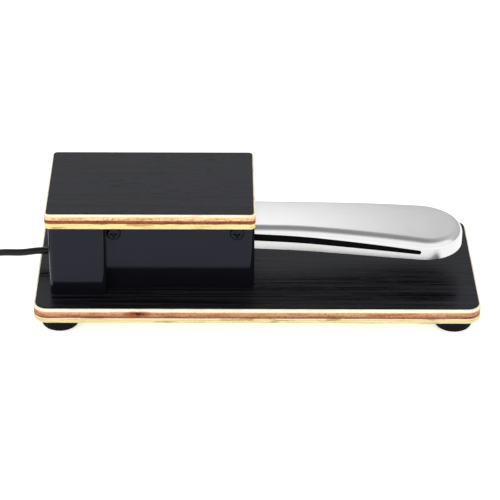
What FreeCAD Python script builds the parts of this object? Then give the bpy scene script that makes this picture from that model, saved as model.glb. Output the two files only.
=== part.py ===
import FreeCAD, Part
import math
import os

# Sustain pedal: two laminated plywood boards, a moulded housing with a sprung lever and
# a micro-switch inside, and a chromed pedal. All sizes are in millimetres. The origin is
# at the middle of the footprint, on the floor: +X towards the toe, +Y to the back, +Z up.

V = FreeCAD.Vector
X_AXIS = V(1, 0, 0)
Y_AXIS = V(0, 1, 0)
Z_AXIS = V(0, 0, 1)
NEAR = 1e-6
PAST = 1.0
ARC_SHARE = 0.45
CROWN_NEAR = 0.02

# boards
BASE_LENGTH = 250.0
BASE_WIDTH = 100.0
BASE_CORNER = 8.0
TOP_CORNER = 3.0
PLY = 9.0
LAMINATE = 0.5
LAMINATE_INSET = 1.0
EDGE_EASE = 0.8
ROOF_SCREW_SIDE = 10.0
ROOF_SCREW_BACK = 12.0
ROOF_SCREW_FRONT = 18.5
ROOF_SCREW_IN = 6.5

# housing
HOUSING_MARGIN = 9.0
HOUSING_LENGTH = 114.5
HOUSING_HEIGHT = 43.3
PIN_ROOM = 2.0
WIDE_STEP = 8.1
WIDE_LENGTH = 31.7
MOUTH_GAP = 1.1
MOUTH_CORNER = 3.0
HOUSING_WALL = 2.5
HOUSING_CORNER = 3.0
HOUSING_INNER_CORNER = 1.0
TOP_OVERHANG_BACK = 1.7
TOP_OVERHANG_FRONT = 0.2
TOP_OVERHANG_SIDE = 1.5

# pedal
PEDAL_HEEL_IN = 8.0
PEDAL_REACH = 118.8
PEDAL_HEEL_HALF = 17.2
PEDAL_TOE_RADIUS = 22.3
PEDAL_FLARE_START = 26.0
PEDAL_FLARE_RADIUS = 300.0
PEDAL_CREST = 33.5
PEDAL_CREST_RADIUS = 1090.0
PEDAL_CROSS_RADIUS = 170.0
PEDAL_SWEEP_START = -1.0
PEDAL_SWEEP = 9.0
PEDAL_SKIRT = 13.6
PEDAL_SKIRT_SLOPE = 0.0456
PEDAL_SKIRT_LEVEL = 93.5
PEDAL_SHOULDER = 5.0
COVER_SHEET = 1.2
SLOT_UNDER_CREST = 3.9
SLOT_HEIGHT_HEEL = 4.3
SLOT_HEIGHT_TOE = 2.6
SLOT_FALL_MIDDLE = 2.95
SLOT_FALL_TOE = 8.0
SLOT_MIDDLE = 41.5
SLOT_END = 92.5
SLOT_MIDDLE_SWELL = 0.65
CORE_GAP = 0.05
CORE_WALL = 2.4
CORE_RECESS = 0.8
CORE_BOSS_RADIUS = 5.0
CORE_BOSS_SINK = 0.5
CORE_BORE_SINK = 0.4
OPEN_HEEL = 5.0
OPEN_UNDER = 3.0
PEDAL_SCREW_SPACING = 60.0
PEDAL_SCREW_FIRST = 15.5
PEDAL_HEAD_RADIUS = 3.5

# lever and pivot
LEVER_HEIGHT = 20.5
LEVER_THICK = 3.0
LEVER_WIDTH = 12.0
LEVER_TAIL = 22.0
LEVER_NOSE = 12.0
LEVER_CORNER = 3.0
PIVOT_BACK = 70.5
PIN_RADIUS = 2.5
PIN_OUT = 2.6
TUBE_RADIUS = 4.0
TUBE_SINK = 0.6
RUNNING_CLEARANCE = 0.05
WASHER_THICK = 0.8
WASHER_RADIUS = 4.6
CLIP_THICK = 0.7
CLIP_RADIUS = 4.2
CLIP_GROOVE = 0.6
CLIP_MOUTH = 60.0
PEDAL_TRAVEL = 3.6

# chassis, stops and spring
SHEET = 1.5
BEND_RADIUS = 1.5
CHASSIS_LENGTH = 83.0
CHASSIS_GAP = 1.0
CHASSIS_TONGUE = 12.0
CHASSIS_SIDE_GAP = 1.3
CHASSIS_WINDOW_DROP = 8.5
CHASSIS_SCREW_BACK = 14.0
CHASSIS_SCREW_SIDE = 6.0
EAR_HALF = 7.0
EAR_ABOVE = 4.0
STOP_BACK = 48.5
STOP_BAR_WIDTH = 8.0
STOP_BAR_THICK = 3.0
STOP_PAD_THICK = 3.0
STOP_TENON = 5.0
STOP_TENON_STEP = 0.4
STOP_PAD_CORNER = 1.0
STOP_GAP = 0.1
SPRING_BACK = 23.5
SPRING_WIRE = 1.4
SPRING_OUTER = 14.0
SPRING_TURNS = 6
SPIGOT_GAP = 0.3
SPIGOT_LENGTH = 3.0
SEAT_THICK = 2.0
SEAT_RADIUS = 8.0
RIVET_RADIUS = 2.0
RIVET_HEAD_RADIUS = 3.6
RIVET_HEAD_THICK = 1.0
BUMPER_BACK = 9.5
BUMPER_RADIUS = 4.5
BUMPER_ROUND = 0.8
BUMPER_SEAT_DEPTH = 4.5

# switch
SWITCH_LENGTH = 19.8
SWITCH_HEIGHT = 10.2
SWITCH_THICK = 6.4
SWITCH_CORNER = 0.6
SWITCH_SIDE = 0.6
SWITCH_AHEAD = 2.0
SWITCH_HOLES = 9.5
SWITCH_HOLE_RISE = 7.2
SWITCH_SCREW_RADIUS = 1.1
SMALL_HEAD_RADIUS = 2.1
SMALL_HEAD_THICK = 1.3
NUT_CORNER = 2.2
NUT_THICK = 1.6
NUT_SIDES = 6
THREAD_OUT = 0.2
PLUNGER_ARM = 16.0
PLUNGER_LENGTH = 2.8
PLUNGER_WIDTH = 1.4
PLUNGER_OUT = 1.5
PLUNGER_IN = 4.4
PLUNGER_GAP = 0.12
PLUNGER_SLACK = 0.1
PLUNGER_ROOM = 1.6
PLUNGER_ROUND = 0.5
TERMINAL_WIDTH = 3.0
TERMINAL_THICK = 0.5
TERMINAL_LENGTH = 3.8
TERMINAL_PITCH = 7.0
BRACKET_SHEET = 1.2
BRACKET_FLANGE = 8.8
BRACKET_LENGTH = 18.0

# feet and screws
FOOT_HEIGHT = 7.0
FOOT_TOP_RADIUS = 11.4
FOOT_BOTTOM_RADIUS = 10.2
FOOT_ROUND = 1.4
FOOT_INSET_X = 14.4
FOOT_INSET_Y = 12.5
FOOT_RECESS_RADIUS = 4.6
FOOT_WEB = 2.5
WOOD_SCREW_RADIUS = 1.5
WOOD_SCREW_BITE = 6.5
WOOD_HEAD_RADIUS = 3.2
WOOD_HEAD_THICK = 1.9
HOUSING_SCREW_RADIUS = 1.9
HEAD_ROUND = 0.6
HOUSING_HEAD_RADIUS = 4.0
HOUSING_HEAD_THICK = 2.4
HOUSING_SCREW_DROP = 7.3
HOUSING_SCREW_FRONT = 9.85
HOUSING_SCREW_SPACING = 68.65
BOSS_RADIUS = 4.0
BOSS_SINK = 0.5
SCREW_HOLE_GAP = 0.2
RECESS_WIDTH = 0.9
RECESS_DEPTH = 0.55

# cable, coil and plug
CABLE_RADIUS = 2.0
CABLE_HEIGHT = 7.9
LEAD_GAP = 0.1
LEAD_RISE = 1.6
LEAD_STRIP = 1.4
LEAD_SWEEP = 6.0
LEAD_RUN = 3.0
CABLE_INSIDE_END = 9.5
GROMMET_NECK = 4.0
GROMMET_FLANGE = 5.4
GROMMET_LIP = 1.0
GROMMET_NOSE = 3.5
GROMMET_TIP = 2.8
CLAMP_LENGTH = 6.0
CLAMP_WIDTH = 18.0
CLAMP_CAP = 4.6
CLAMP_BACK = 5.0
CLAMP_SCREW = 6.0
CLAMP_CORNER = 1.0
LEAD_RADIUS = 0.55
CORD_ROUTE = [(-119.5, 0.0, 24.4), (-125.5, 0.0, 24.4), (-134.5, 0.5, 22.4), (-147.5, 3.4, 21.2),
              (-160.0, 8.9, 15.2), (-172.0, 16.5, 7.0), (-185.0, 23.8, 2.6), (-200.0, 27.7, 2.6)]
TAIL_ROUTE = [(-227.7, 0.0, 14.6), (-227.7, -11.5, 13.2), (-227.3, -23.0, 9.4),
              (-226.5, -34.0, 6.3), (-226.2, -42.0, 5.6), (-226.2, -48.0, 5.6)]
COIL_CENTRE = (-200.0, 0.0)
COIL_INNER = 16.3
COIL_OUTER = 29.8
COIL_BOTTOM = 0.6
COIL_TOP = 16.7
COIL_ROUND = 2.0
TIE_THICK = 0.6
TIE_ARC = 18.0
TIE_AT = 292.0
PLUG_BOOT_LENGTH = 11.0
PLUG_BOOT_RADIUS = 2.9
PLUG_BOOT_END = 4.3
PLUG_FLARE = 2.5
PLUG_GRIP_LENGTH = 25.0
PLUG_GRIP_RADIUS = 5.5
PLUG_GRIP_ROUND = 1.0
PLUG_COLLAR_RADIUS = 4.6
PLUG_COLLAR_LENGTH = 1.6
PLUG_RADIUS = 3.175
PLUG_SLEEVE_LENGTH = 20.8
PLUG_RING_LENGTH = 1.2
PLUG_RING_STEP = 0.25
PLUG_TIP_LENGTH = 8.6
PLUG_TIP_OUTLINE = [(1.2, 0.0), (3.1, 0.975), (4.6, 0.35), (5.4, 0.15), (8.1, 2.275)]

# places worked out from the sizes above
base_back = -BASE_LENGTH / 2
base_top = FOOT_HEIGHT + PLY
deck = base_top + LAMINATE
housing_x0 = base_back + HOUSING_MARGIN
housing_x1 = housing_x0 + HOUSING_LENGTH
step_x = housing_x0 + WIDE_LENGTH
roof_top = deck + HOUSING_HEIGHT
roof_under = roof_top - HOUSING_WALL
top_x0 = housing_x0 - TOP_OVERHANG_BACK
top_x1 = housing_x1 + TOP_OVERHANG_FRONT
chassis_x1 = housing_x1 - HOUSING_WALL - CHASSIS_GAP
chassis_x0 = chassis_x1 - CHASSIS_LENGTH
chassis_inner = PEDAL_HEEL_HALF + CHASSIS_SIDE_GAP
chassis_outer = chassis_inner + SHEET
narrow_inner = chassis_outer + PIN_OUT + PIN_ROOM
narrow_half = narrow_inner + HOUSING_WALL
wide_half = narrow_half + WIDE_STEP
top_half = wide_half + TOP_OVERHANG_SIDE
floor_top = deck + SHEET
lever_under = deck + LEVER_HEIGHT
lever_top = lever_under + LEVER_THICK
pivot_x = housing_x1 - PIVOT_BACK
pivot_z = lever_under - TUBE_RADIUS + TUBE_SINK
pedal_heel = housing_x1 - PEDAL_HEEL_IN
pedal_toe = housing_x1 + PEDAL_REACH
crest_z = deck + PEDAL_CREST
screw_z = roof_top - HOUSING_SCREW_DROP
screw_xs = [housing_x1 - HOUSING_SCREW_FRONT, housing_x1 - HOUSING_SCREW_FRONT - HOUSING_SCREW_SPACING]
cable_z = deck + CABLE_HEIGHT
spring_x = housing_x1 - SPRING_BACK
stop_x = housing_x1 - STOP_BACK
bumper_x = housing_x1 - BUMPER_BACK
plunger_x = pivot_x - PLUNGER_ARM
switch_x = plunger_x - SWITCH_AHEAD
switch_y0 = SWITCH_SIDE
switch_y1 = switch_y0 + SWITCH_THICK
switch_y = (switch_y0 + switch_y1) / 2
switch_z0 = lever_top + PLUNGER_GAP + PLUNGER_OUT
switch_z1 = switch_z0 + SWITCH_HEIGHT
clamp_x1 = housing_x0 + HOUSING_WALL + CABLE_INSIDE_END - CLAMP_BACK + CLAMP_LENGTH / 2
clamp_x0 = clamp_x1 - CLAMP_LENGTH
cable_end_x = housing_x0 + HOUSING_WALL + CABLE_INSIDE_END


def block(x0, x1, y0, y1, z0, z1):
    return Part.makeBox(x1 - x0, y1 - y0, z1 - z0, V(x0, y0, z0))


def rod(start, direction, length, radius):
    return Part.makeCylinder(radius, length, V(*start), direction)


def turned(profile, start, direction):
    """Revolve (distance along the axis, radius) points about an axis that leaves start."""
    points = [V(radius, 0, along) for along, radius in profile]
    face = Part.Face(Part.makePolygon(points + [points[0]]))
    solid = face.revolve(V(0, 0, 0), Z_AXIS, 360)
    solid.Placement = FreeCAD.Placement(V(*start), FreeCAD.Rotation(Z_AXIS, direction))
    return Part.Solid(solid)


def round_uprights(solid, radius):
    """Fillet the straight upright edges of a block."""
    edges = [edge for edge in solid.Edges if is_upright(edge)]
    return solid.makeFillet(radius, edges)


def is_upright(edge):
    first, last = edge.firstVertex().Point, edge.lastVertex().Point
    return abs(first.x - last.x) < NEAR and abs(first.y - last.y) < NEAR


def edges_at(solid, z):
    """The edges that lie wholly in one level plane."""
    return [edge for edge in solid.Edges if all(abs(v.Z - z) < NEAR for v in edge.Vertexes)]


def soft_path(points, radii):
    """Straight runs through the points, joined by tangent arcs of the given radii."""
    edges = []
    start = points[0]
    for before, corner, after, radius in zip(points, points[1:], points[2:], radii):
        back = (before - corner).normalize()
        ahead = (after - corner).normalize()
        half_turn = (math.pi - back.getAngle(ahead)) / 2
        reach = radius * math.tan(half_turn)
        bisector = (back + ahead).normalize()
        centre_distance = radius / math.cos(half_turn)
        middle = corner + bisector * (centre_distance - radius)
        enter = corner + back * reach
        leave = corner + ahead * reach
        edges.append(Part.LineSegment(start, enter).toShape())
        edges.append(Part.Arc(enter, middle, leave).toShape())
        start = leave
    edges.append(Part.LineSegment(start, points[-1]).toShape())
    return Part.Wire(edges)


def full_radii(points):
    """Each corner's arc takes 0.45 of the shorter of its two runs."""
    radii = []
    for before, corner, after in zip(points, points[1:], points[2:]):
        back = before - corner
        ahead = after - corner
        half_turn = (math.pi - back.getAngle(ahead)) / 2
        radii.append(ARC_SHARE * min(back.Length, ahead.Length) / math.tan(half_turn))
    return radii


def tube(points, radius, name):
    """A solid round cord along a route; its radii and volume ratio are printed."""
    route = [V(*point) for point in points]
    radii = full_radii(route)
    path = soft_path(route, radii)
    start = route[0]
    section = Part.Wire(Part.makeCircle(radius, start, route[1] - start))
    solid = Part.Solid(path.makePipeShell([section], True, False))
    ratio = solid.Volume / (math.pi * radius ** 2 * path.Length)
    print(name, "length", round(path.Length, 1), "volume", round(ratio, 4))
    print(name, "radii", [round(radius) for radius in radii])
    return solid


def pan_screw(head_at, direction, head_radius, head_thick, shank_radius, shank_length):
    """A domed head whose underside is at head_at, with a cross recess and a plain shank."""
    head = rod((0, 0, -head_thick), Z_AXIS, head_thick, head_radius)
    head = head.makeFillet(head_thick * HEAD_ROUND, edges_at(head, -head_thick))
    arm = head_radius / 2
    slim = RECESS_WIDTH / 2
    low = -head_thick - PAST
    high = -head_thick * (1 - RECESS_DEPTH)
    head = head.cut(block(-arm, arm, -slim, slim, low, high))
    head = head.cut(block(-slim, slim, -arm, arm, low, high))
    screw = head.fuse(rod((0, 0, 0), Z_AXIS, shank_length, shank_radius)).removeSplitter()
    screw.Placement = FreeCAD.Placement(V(*head_at), FreeCAD.Rotation(Z_AXIS, direction))
    return screw


def group(solids):
    return Part.Compound([solid for shape in solids for solid in shape.Solids])


# boards, feet and the screws in them

def board(x0, x1, half_width, z0, corner):
    solid = round_uprights(block(x0, x1, -half_width, half_width, z0, z0 + PLY), corner)
    rims = edges_at(solid, z0) + edges_at(solid, z0 + PLY)
    return solid.makeFillet(EDGE_EASE, rims)


def laminate(x0, x1, half_width, z0, corner):
    inset = LAMINATE_INSET
    solid = block(x0 + inset, x1 - inset, -half_width + inset, half_width - inset, z0, z0 + LAMINATE)
    return round_uprights(solid, corner - inset)


def chassis_screw_places():
    xs = (chassis_x0 + CHASSIS_SCREW_BACK, (spring_x + stop_x) / 2)
    return [(x, side * (chassis_inner - CHASSIS_SCREW_SIDE)) for x in xs for side in (-1, 1)]


def clamp_screw_places():
    return [((clamp_x0 + clamp_x1) / 2, side * CLAMP_SCREW) for side in (-1, 1)]


def deck_pilots():
    """Where wood screws enter the base from above, with the height of the head's seat."""
    places = [(x, y, floor_top) for x, y in chassis_screw_places()]
    places += [(x, y, cable_z + CLAMP_CAP) for x, y in clamp_screw_places()]
    places += [(bumper_x, 0, bumper_top() - BUMPER_SEAT_DEPTH)]
    return places


def foot_places():
    x = BASE_LENGTH / 2 - FOOT_INSET_X
    y = BASE_WIDTH / 2 - FOOT_INSET_Y
    return {"foot_front_left": (-x, -y), "foot_front_right": (x, -y),
            "foot_back_left": (-x, y), "foot_back_right": (x, y)}


def base_pieces():
    half = BASE_WIDTH / 2
    wood = board(base_back, -base_back, half, FOOT_HEIGHT, BASE_CORNER)
    skin = laminate(base_back, -base_back, half, base_top, BASE_CORNER)
    bite = deck - WOOD_SCREW_BITE
    for x, y, _ in deck_pilots():
        pilot = rod((x, y, bite), Z_AXIS, deck - bite, WOOD_SCREW_RADIUS)
        wood = wood.cut(pilot)
        skin = skin.cut(pilot)
    for x, y in foot_places().values():
        wood = wood.cut(rod((x, y, FOOT_HEIGHT), Z_AXIS, WOOD_SCREW_BITE, WOOD_SCREW_RADIUS))
    return wood, skin


def roof_screw_places():
    wide_y = wide_half - HOUSING_WALL - ROOF_SCREW_SIDE
    back_x = housing_x0 + ROOF_SCREW_BACK
    front_x = housing_x1 - ROOF_SCREW_FRONT
    front_y = chassis_inner - ROOF_SCREW_IN
    return [(back_x, wide_y), (back_x, -wide_y), (front_x, front_y), (front_x, -front_y)]


def top_pieces():
    wood = board(top_x0, top_x1, top_half, roof_top, TOP_CORNER)
    skin = laminate(top_x0, top_x1, top_half, roof_top + PLY, TOP_CORNER)
    for x, y in roof_screw_places():
        wood = wood.cut(rod((x, y, roof_top), Z_AXIS, WOOD_SCREW_BITE, WOOD_SCREW_RADIUS))
    return wood, skin


def foot(x, y):
    profile = [(0, FOOT_RECESS_RADIUS), (0, FOOT_BOTTOM_RADIUS), (FOOT_HEIGHT, FOOT_TOP_RADIUS),
               (FOOT_HEIGHT, WOOD_SCREW_RADIUS), (FOOT_HEIGHT - FOOT_WEB, WOOD_SCREW_RADIUS),
               (FOOT_HEIGHT - FOOT_WEB, FOOT_RECESS_RADIUS)]
    solid = turned(profile, (x, y, 0), Z_AXIS)
    middle = (FOOT_RECESS_RADIUS + FOOT_BOTTOM_RADIUS) / 2
    return solid.makeFillet(FOOT_ROUND, [edge for edge in edges_at(solid, 0) if edge.Curve.Radius > middle])


def foot_screw(x, y):
    seat = FOOT_HEIGHT - FOOT_WEB
    return pan_screw((x, y, seat), Z_AXIS, WOOD_HEAD_RADIUS, WOOD_HEAD_THICK,
                     WOOD_SCREW_RADIUS, FOOT_WEB + WOOD_SCREW_BITE)


def deck_screw(x, y, seat):
    return pan_screw((x, y, seat), -Z_AXIS, WOOD_HEAD_RADIUS, WOOD_HEAD_THICK,
                     WOOD_SCREW_RADIUS, seat - deck + WOOD_SCREW_BITE)


def roof_screw(x, y):
    return pan_screw((x, y, roof_under), Z_AXIS, WOOD_HEAD_RADIUS, WOOD_HEAD_THICK,
                     WOOD_SCREW_RADIUS, HOUSING_WALL + WOOD_SCREW_BITE)


# housing

def housing_plan(inset, z0, z1, corner):
    """The wide and the narrow block joined, each face moved in by inset."""
    wide = wide_half - inset
    narrow = narrow_half - inset
    wide_end = step_x - inset
    wide_block = round_uprights(block(housing_x0 + inset, wide_end, -wide, wide, z0, z1), corner)
    narrow_block = block(wide_end - WIDE_LENGTH / 2, housing_x1 - inset, -narrow, narrow, z0, z1)
    narrow_block = round_uprights(narrow_block, corner)
    return wide_block.fuse(narrow_block).removeSplitter()


def housing():
    shell = housing_plan(0, deck, roof_top, HOUSING_CORNER)
    inner = housing_plan(HOUSING_WALL, deck - PAST, roof_under, HOUSING_INNER_CORNER)
    shell = shell.cut(inner)
    shell = shell.cut(pedal_mouth())
    for x in screw_xs:
        for side in (-1, 1):
            reach = narrow_inner - chassis_outer - RUNNING_CLEARANCE + BOSS_SINK
            start = side * (chassis_outer + RUNNING_CLEARANCE)
            boss = rod((x, start, screw_z), Y_AXIS * side, reach, BOSS_RADIUS)
            hole_radius = HOUSING_SCREW_RADIUS + SCREW_HOLE_GAP
            hole = rod((x, side * chassis_outer, screw_z), Y_AXIS * side, narrow_half, hole_radius)
            shell = shell.fuse(boss).cut(hole)
    for x, y in roof_screw_places():
        shell = shell.cut(rod((x, y, roof_under - PAST), Z_AXIS, HOUSING_WALL + 2 * PAST, WOOD_SCREW_RADIUS))
    shell = shell.cut(rod((housing_x0 - PAST, 0, cable_z), X_AXIS, HOUSING_WALL + 2 * PAST, GROMMET_NECK))
    return shell.removeSplitter()


def drop_at(x):
    """How far a point of the lever above x goes down at full travel."""
    return (x - pivot_x) * math.sin(math.radians(PEDAL_TRAVEL))


def pedal_mouth():
    """The window that the pedal comes out of: its section there, its travel and a gap."""
    half = PEDAL_HEEL_HALF + MOUTH_GAP
    low = skirt_z(housing_x1) - drop_at(housing_x1) - MOUTH_GAP
    high = crest_z + MOUTH_GAP
    window = block(housing_x1 - HOUSING_WALL - PAST, housing_x1 + PAST, -half, half, low, high)
    return window.makeFillet(MOUTH_CORNER, [edge for edge in window.Edges if is_along_x(edge)])


def is_along_x(edge):
    first, last = edge.firstVertex().Point, edge.lastVertex().Point
    return abs(first.y - last.y) < NEAR and abs(first.z - last.z) < NEAR


def housing_screw(x, side):
    place = (x, side * narrow_half, screw_z)
    return pan_screw(place, Y_AXIS * -side, HOUSING_HEAD_RADIUS, HOUSING_HEAD_THICK, HOUSING_SCREW_RADIUS,
                     narrow_half - chassis_inner)


# chassis, stops and spring

def chassis():
    top = screw_z + EAR_ABOVE
    outer = block(chassis_x0, chassis_x1, -chassis_outer, chassis_outer, deck, top)
    inner = block(chassis_x0 - PAST, chassis_x1 + PAST, -chassis_inner, chassis_inner,
                  floor_top, top + PAST)
    bends = [edge for edge in edges_at(outer, deck) if is_along_x(edge)]
    outer = outer.makeFillet(BEND_RADIUS + SHEET, bends)
    bends = [edge for edge in edges_at(inner, floor_top) if is_along_x(edge)]
    inner = inner.makeFillet(BEND_RADIUS, bends)
    frame = outer.cut(inner)
    far = chassis_outer + PAST
    window = block(min(screw_xs) + EAR_HALF, max(screw_xs) - EAR_HALF, -far, far,
                   top - CHASSIS_WINDOW_DROP, top + PAST)
    frame = frame.cut(window)
    half = chassis_inner - BEND_RADIUS
    tongue = block(chassis_x0 - CHASSIS_TONGUE, chassis_x0, -half, half, deck, floor_top)
    frame = frame.fuse(tongue)
    frame = frame.cut(rod((pivot_x, -far, pivot_z), Y_AXIS, 2 * far, PIN_RADIUS))
    for x in screw_xs:
        frame = frame.cut(rod((x, -far, screw_z), Y_AXIS, 2 * far, HOUSING_SCREW_RADIUS))
    frame = frame.cut(stop_tenon())
    for x, y, _ in deck_pilots():
        frame = frame.cut(floor_hole(x, y, WOOD_SCREW_RADIUS))
    frame = frame.cut(floor_hole(spring_x, 0, RIVET_RADIUS))
    for x, y in bracket_screw_places():
        frame = frame.cut(floor_hole(x, y, SWITCH_SCREW_RADIUS))
    return frame.removeSplitter()


def floor_hole(x, y, radius):
    return rod((x, y, deck - PAST), Z_AXIS, SHEET + 2 * PAST, radius)


def stop_tenon():
    half = STOP_TENON / 2
    low = lever_top + STOP_PAD_THICK + STOP_TENON_STEP
    high = low + STOP_BAR_THICK - 2 * STOP_TENON_STEP
    return block(stop_x - half, stop_x + half, -chassis_outer, chassis_outer, low, high)


def stop_bar():
    half = STOP_BAR_WIDTH / 2
    low = lever_top + STOP_PAD_THICK
    bar = block(stop_x - half, stop_x + half, -chassis_inner, chassis_inner, low, low + STOP_BAR_THICK)
    return bar.fuse(stop_tenon()).removeSplitter()


def stop_pad():
    half = STOP_BAR_WIDTH / 2
    side = LEVER_WIDTH / 2
    pad = block(stop_x - half, stop_x + half, -side, side, lever_top + STOP_GAP, lever_top + STOP_PAD_THICK)
    return round_uprights(pad, STOP_PAD_CORNER)


def bumper_top():
    """The bumper ends under the lever's underside at full travel."""
    turn = math.radians(PEDAL_TRAVEL)
    far = bumper_x + BUMPER_RADIUS - pivot_x
    return pivot_z + (lever_under - pivot_z) * math.cos(turn) - far * math.sin(turn) - STOP_GAP


def bumper():
    top = bumper_top()
    height = top - floor_top
    seat = height - BUMPER_SEAT_DEPTH
    well = WOOD_HEAD_RADIUS + SCREW_HOLE_GAP
    profile = [(0, WOOD_SCREW_RADIUS), (0, BUMPER_RADIUS), (height, BUMPER_RADIUS), (height, well),
               (seat, well), (seat, WOOD_SCREW_RADIUS)]
    solid = turned(profile, (bumper_x, 0, floor_top), Z_AXIS)
    rim = [edge for edge in edges_at(solid, top) if edge.Curve.Radius > (well + BUMPER_RADIUS) / 2]
    return solid.makeFillet(BUMPER_ROUND, rim)


def spring_inner():
    return SPRING_OUTER / 2 - SPRING_WIRE - SPIGOT_GAP


def spring_seat():
    spigot = spring_inner()
    profile = [(-SHEET, 0), (-SHEET, RIVET_RADIUS), (0, RIVET_RADIUS), (0, SEAT_RADIUS),
               (SEAT_THICK, SEAT_RADIUS), (SEAT_THICK, spigot), (SEAT_THICK + SPIGOT_LENGTH, spigot),
               (SEAT_THICK + SPIGOT_LENGTH, 0)]
    return turned(profile, (spring_x, 0, floor_top), Z_AXIS)


def spring_spigot():
    profile = [(0, 0), (0, spring_inner()), (SPIGOT_LENGTH, spring_inner()), (SPIGOT_LENGTH, RIVET_RADIUS),
               (SPIGOT_LENGTH + LEVER_THICK, RIVET_RADIUS), (SPIGOT_LENGTH + LEVER_THICK, RIVET_HEAD_RADIUS),
               (SPIGOT_LENGTH + LEVER_THICK + RIVET_HEAD_THICK, RIVET_HEAD_RADIUS),
               (SPIGOT_LENGTH + LEVER_THICK + RIVET_HEAD_THICK, 0)]
    return turned(profile, (spring_x, 0, lever_under - SPIGOT_LENGTH), Z_AXIS)


def return_spring():
    mean = (SPRING_OUTER - SPRING_WIRE) / 2
    wire = SPRING_WIRE / 2
    low = floor_top + SEAT_THICK + wire
    high = lever_under - wire
    helix = Part.makeHelix((high - low) / SPRING_TURNS, high - low, mean)
    rise = (high - low) / (SPRING_TURNS * 2 * math.pi * mean)
    section = Part.Wire(Part.makeCircle(wire, V(mean, 0, 0), V(0, 1, rise)))
    coil = Part.Solid(Part.Wire(helix.Edges).makePipeShell([section], True, True))
    coil.translate(V(spring_x, 0, low))
    return coil


# pivot and lever

def pivot_pin():
    reach = chassis_outer + PIN_OUT
    pin = rod((pivot_x, -reach, pivot_z), Y_AXIS, 2 * reach, PIN_RADIUS)
    for side in (-1, 1):
        start = clip_start(side)
        ring = rod((pivot_x, start, pivot_z), Y_AXIS * side, CLIP_THICK, PIN_RADIUS + PAST)
        core = rod((pivot_x, start, pivot_z), Y_AXIS * side, CLIP_THICK, PIN_RADIUS - CLIP_GROOVE)
        pin = pin.cut(ring.cut(core))
    return pin


def clip_start(side):
    return side * (chassis_outer + RUNNING_CLEARANCE)


def pivot_clip(side):
    start = (pivot_x, clip_start(side), pivot_z)
    ring = rod(start, Y_AXIS * side, CLIP_THICK, CLIP_RADIUS)
    ring = ring.cut(rod(start, Y_AXIS * side, CLIP_THICK, PIN_RADIUS - CLIP_GROOVE))
    far = 2 * CLIP_RADIUS
    rise = far * math.tan(math.radians(CLIP_MOUTH / 2))
    mouth = Part.makePolygon([V(0, 0, 0), V(far, 0, rise), V(far, 0, -rise), V(0, 0, 0)])
    wedge = Part.Face(mouth).extrude(V(0, CLIP_THICK, 0))
    wedge.translate(V(pivot_x, min(start[1], start[1] + side * CLIP_THICK), pivot_z))
    return ring.cut(wedge)


def pivot_washer(side):
    hole = PIN_RADIUS + RUNNING_CLEARANCE
    start = (pivot_x, side * (chassis_inner - RUNNING_CLEARANCE), pivot_z)
    disc = rod(start, Y_AXIS * -side, WASHER_THICK, WASHER_RADIUS)
    return disc.cut(rod(start, Y_AXIS * -side, WASHER_THICK, hole))


def tube_half():
    return chassis_inner - WASHER_THICK - 3 * RUNNING_CLEARANCE


def pivot_tube():
    half = tube_half()
    sleeve = rod((pivot_x, -half, pivot_z), Y_AXIS, 2 * half, TUBE_RADIUS)
    return sleeve.cut(rod((pivot_x, -half, pivot_z), Y_AXIS, 2 * half, PIN_RADIUS + RUNNING_CLEARANCE))


def pedal_screw_xs():
    return [housing_x1 + PEDAL_SCREW_FIRST, housing_x1 + PEDAL_SCREW_FIRST + PEDAL_SCREW_SPACING]


def lever_bar():
    half = LEVER_WIDTH / 2
    nose = pedal_toe - PEDAL_TOE_RADIUS - LEVER_NOSE
    bar = block(pivot_x - LEVER_TAIL, nose, -half, half, lever_under, lever_top)
    bar = round_uprights(bar, LEVER_CORNER)
    bar = bar.cut(rod((pivot_x, -half - PAST, pivot_z), Y_AXIS, LEVER_WIDTH + 2 * PAST, TUBE_RADIUS))
    bar = bar.cut(lever_hole(spring_x, RIVET_RADIUS))
    for x in pedal_screw_xs():
        bar = bar.cut(lever_hole(x, HOUSING_SCREW_RADIUS + SCREW_HOLE_GAP))
    return bar


def lever_hole(x, radius):
    return rod((x, 0, lever_under - PAST), Z_AXIS, LEVER_THICK + 2 * PAST, radius)


# pedal

def skirt_z(x):
    """The pedal's lower edge: a straight fall, then level round the toe."""
    level = housing_x1 + PEDAL_SKIRT_LEVEL
    return crest_z - PEDAL_SKIRT - PEDAL_SKIRT_SLOPE * (min(x, level) - housing_x1)


def crown_at(x, y=0.0, inset=0.0):
    """The pedal's top: an arc along it whose highest point is over the heel, and one across it."""
    across = PEDAL_CROSS_RADIUS - inset
    ring = PEDAL_CREST_RADIUS - PEDAL_CROSS_RADIUS + math.sqrt(across ** 2 - y ** 2)
    return crest_z - PEDAL_CREST_RADIUS + math.sqrt(ring ** 2 - (x - pedal_heel) ** 2)


def pedal_outline(inset, heel):
    """The pedal seen from above: straight heel, flared sides and a round toe."""
    radius = PEDAL_TOE_RADIUS - inset
    half = PEDAL_HEEL_HALF - inset
    centre = V(pedal_toe - PEDAL_TOE_RADIUS, 0, 0)
    flare = V(housing_x1 + PEDAL_FLARE_START, half, 0)
    gap = centre - flare
    lean = math.asin(radius / gap.Length) - math.atan2(half, gap.x)
    touch = centre + V(-math.sin(lean), math.cos(lean), 0) * radius
    side = soft_path([V(heel, half, 0), flare, touch], [PEDAL_FLARE_RADIUS])
    mirrored = side.mirror(V(0, 0, 0), Y_AXIS)
    toe = Part.Arc(touch, centre + V(radius, 0, 0), V(touch.x, -touch.y, 0)).toShape()
    back = Part.LineSegment(V(heel, -half, 0), V(heel, half, 0)).toShape()
    return Part.Wire(Part.__sortEdges__(side.Edges + [toe] + mirrored.Edges + [back]))


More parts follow.
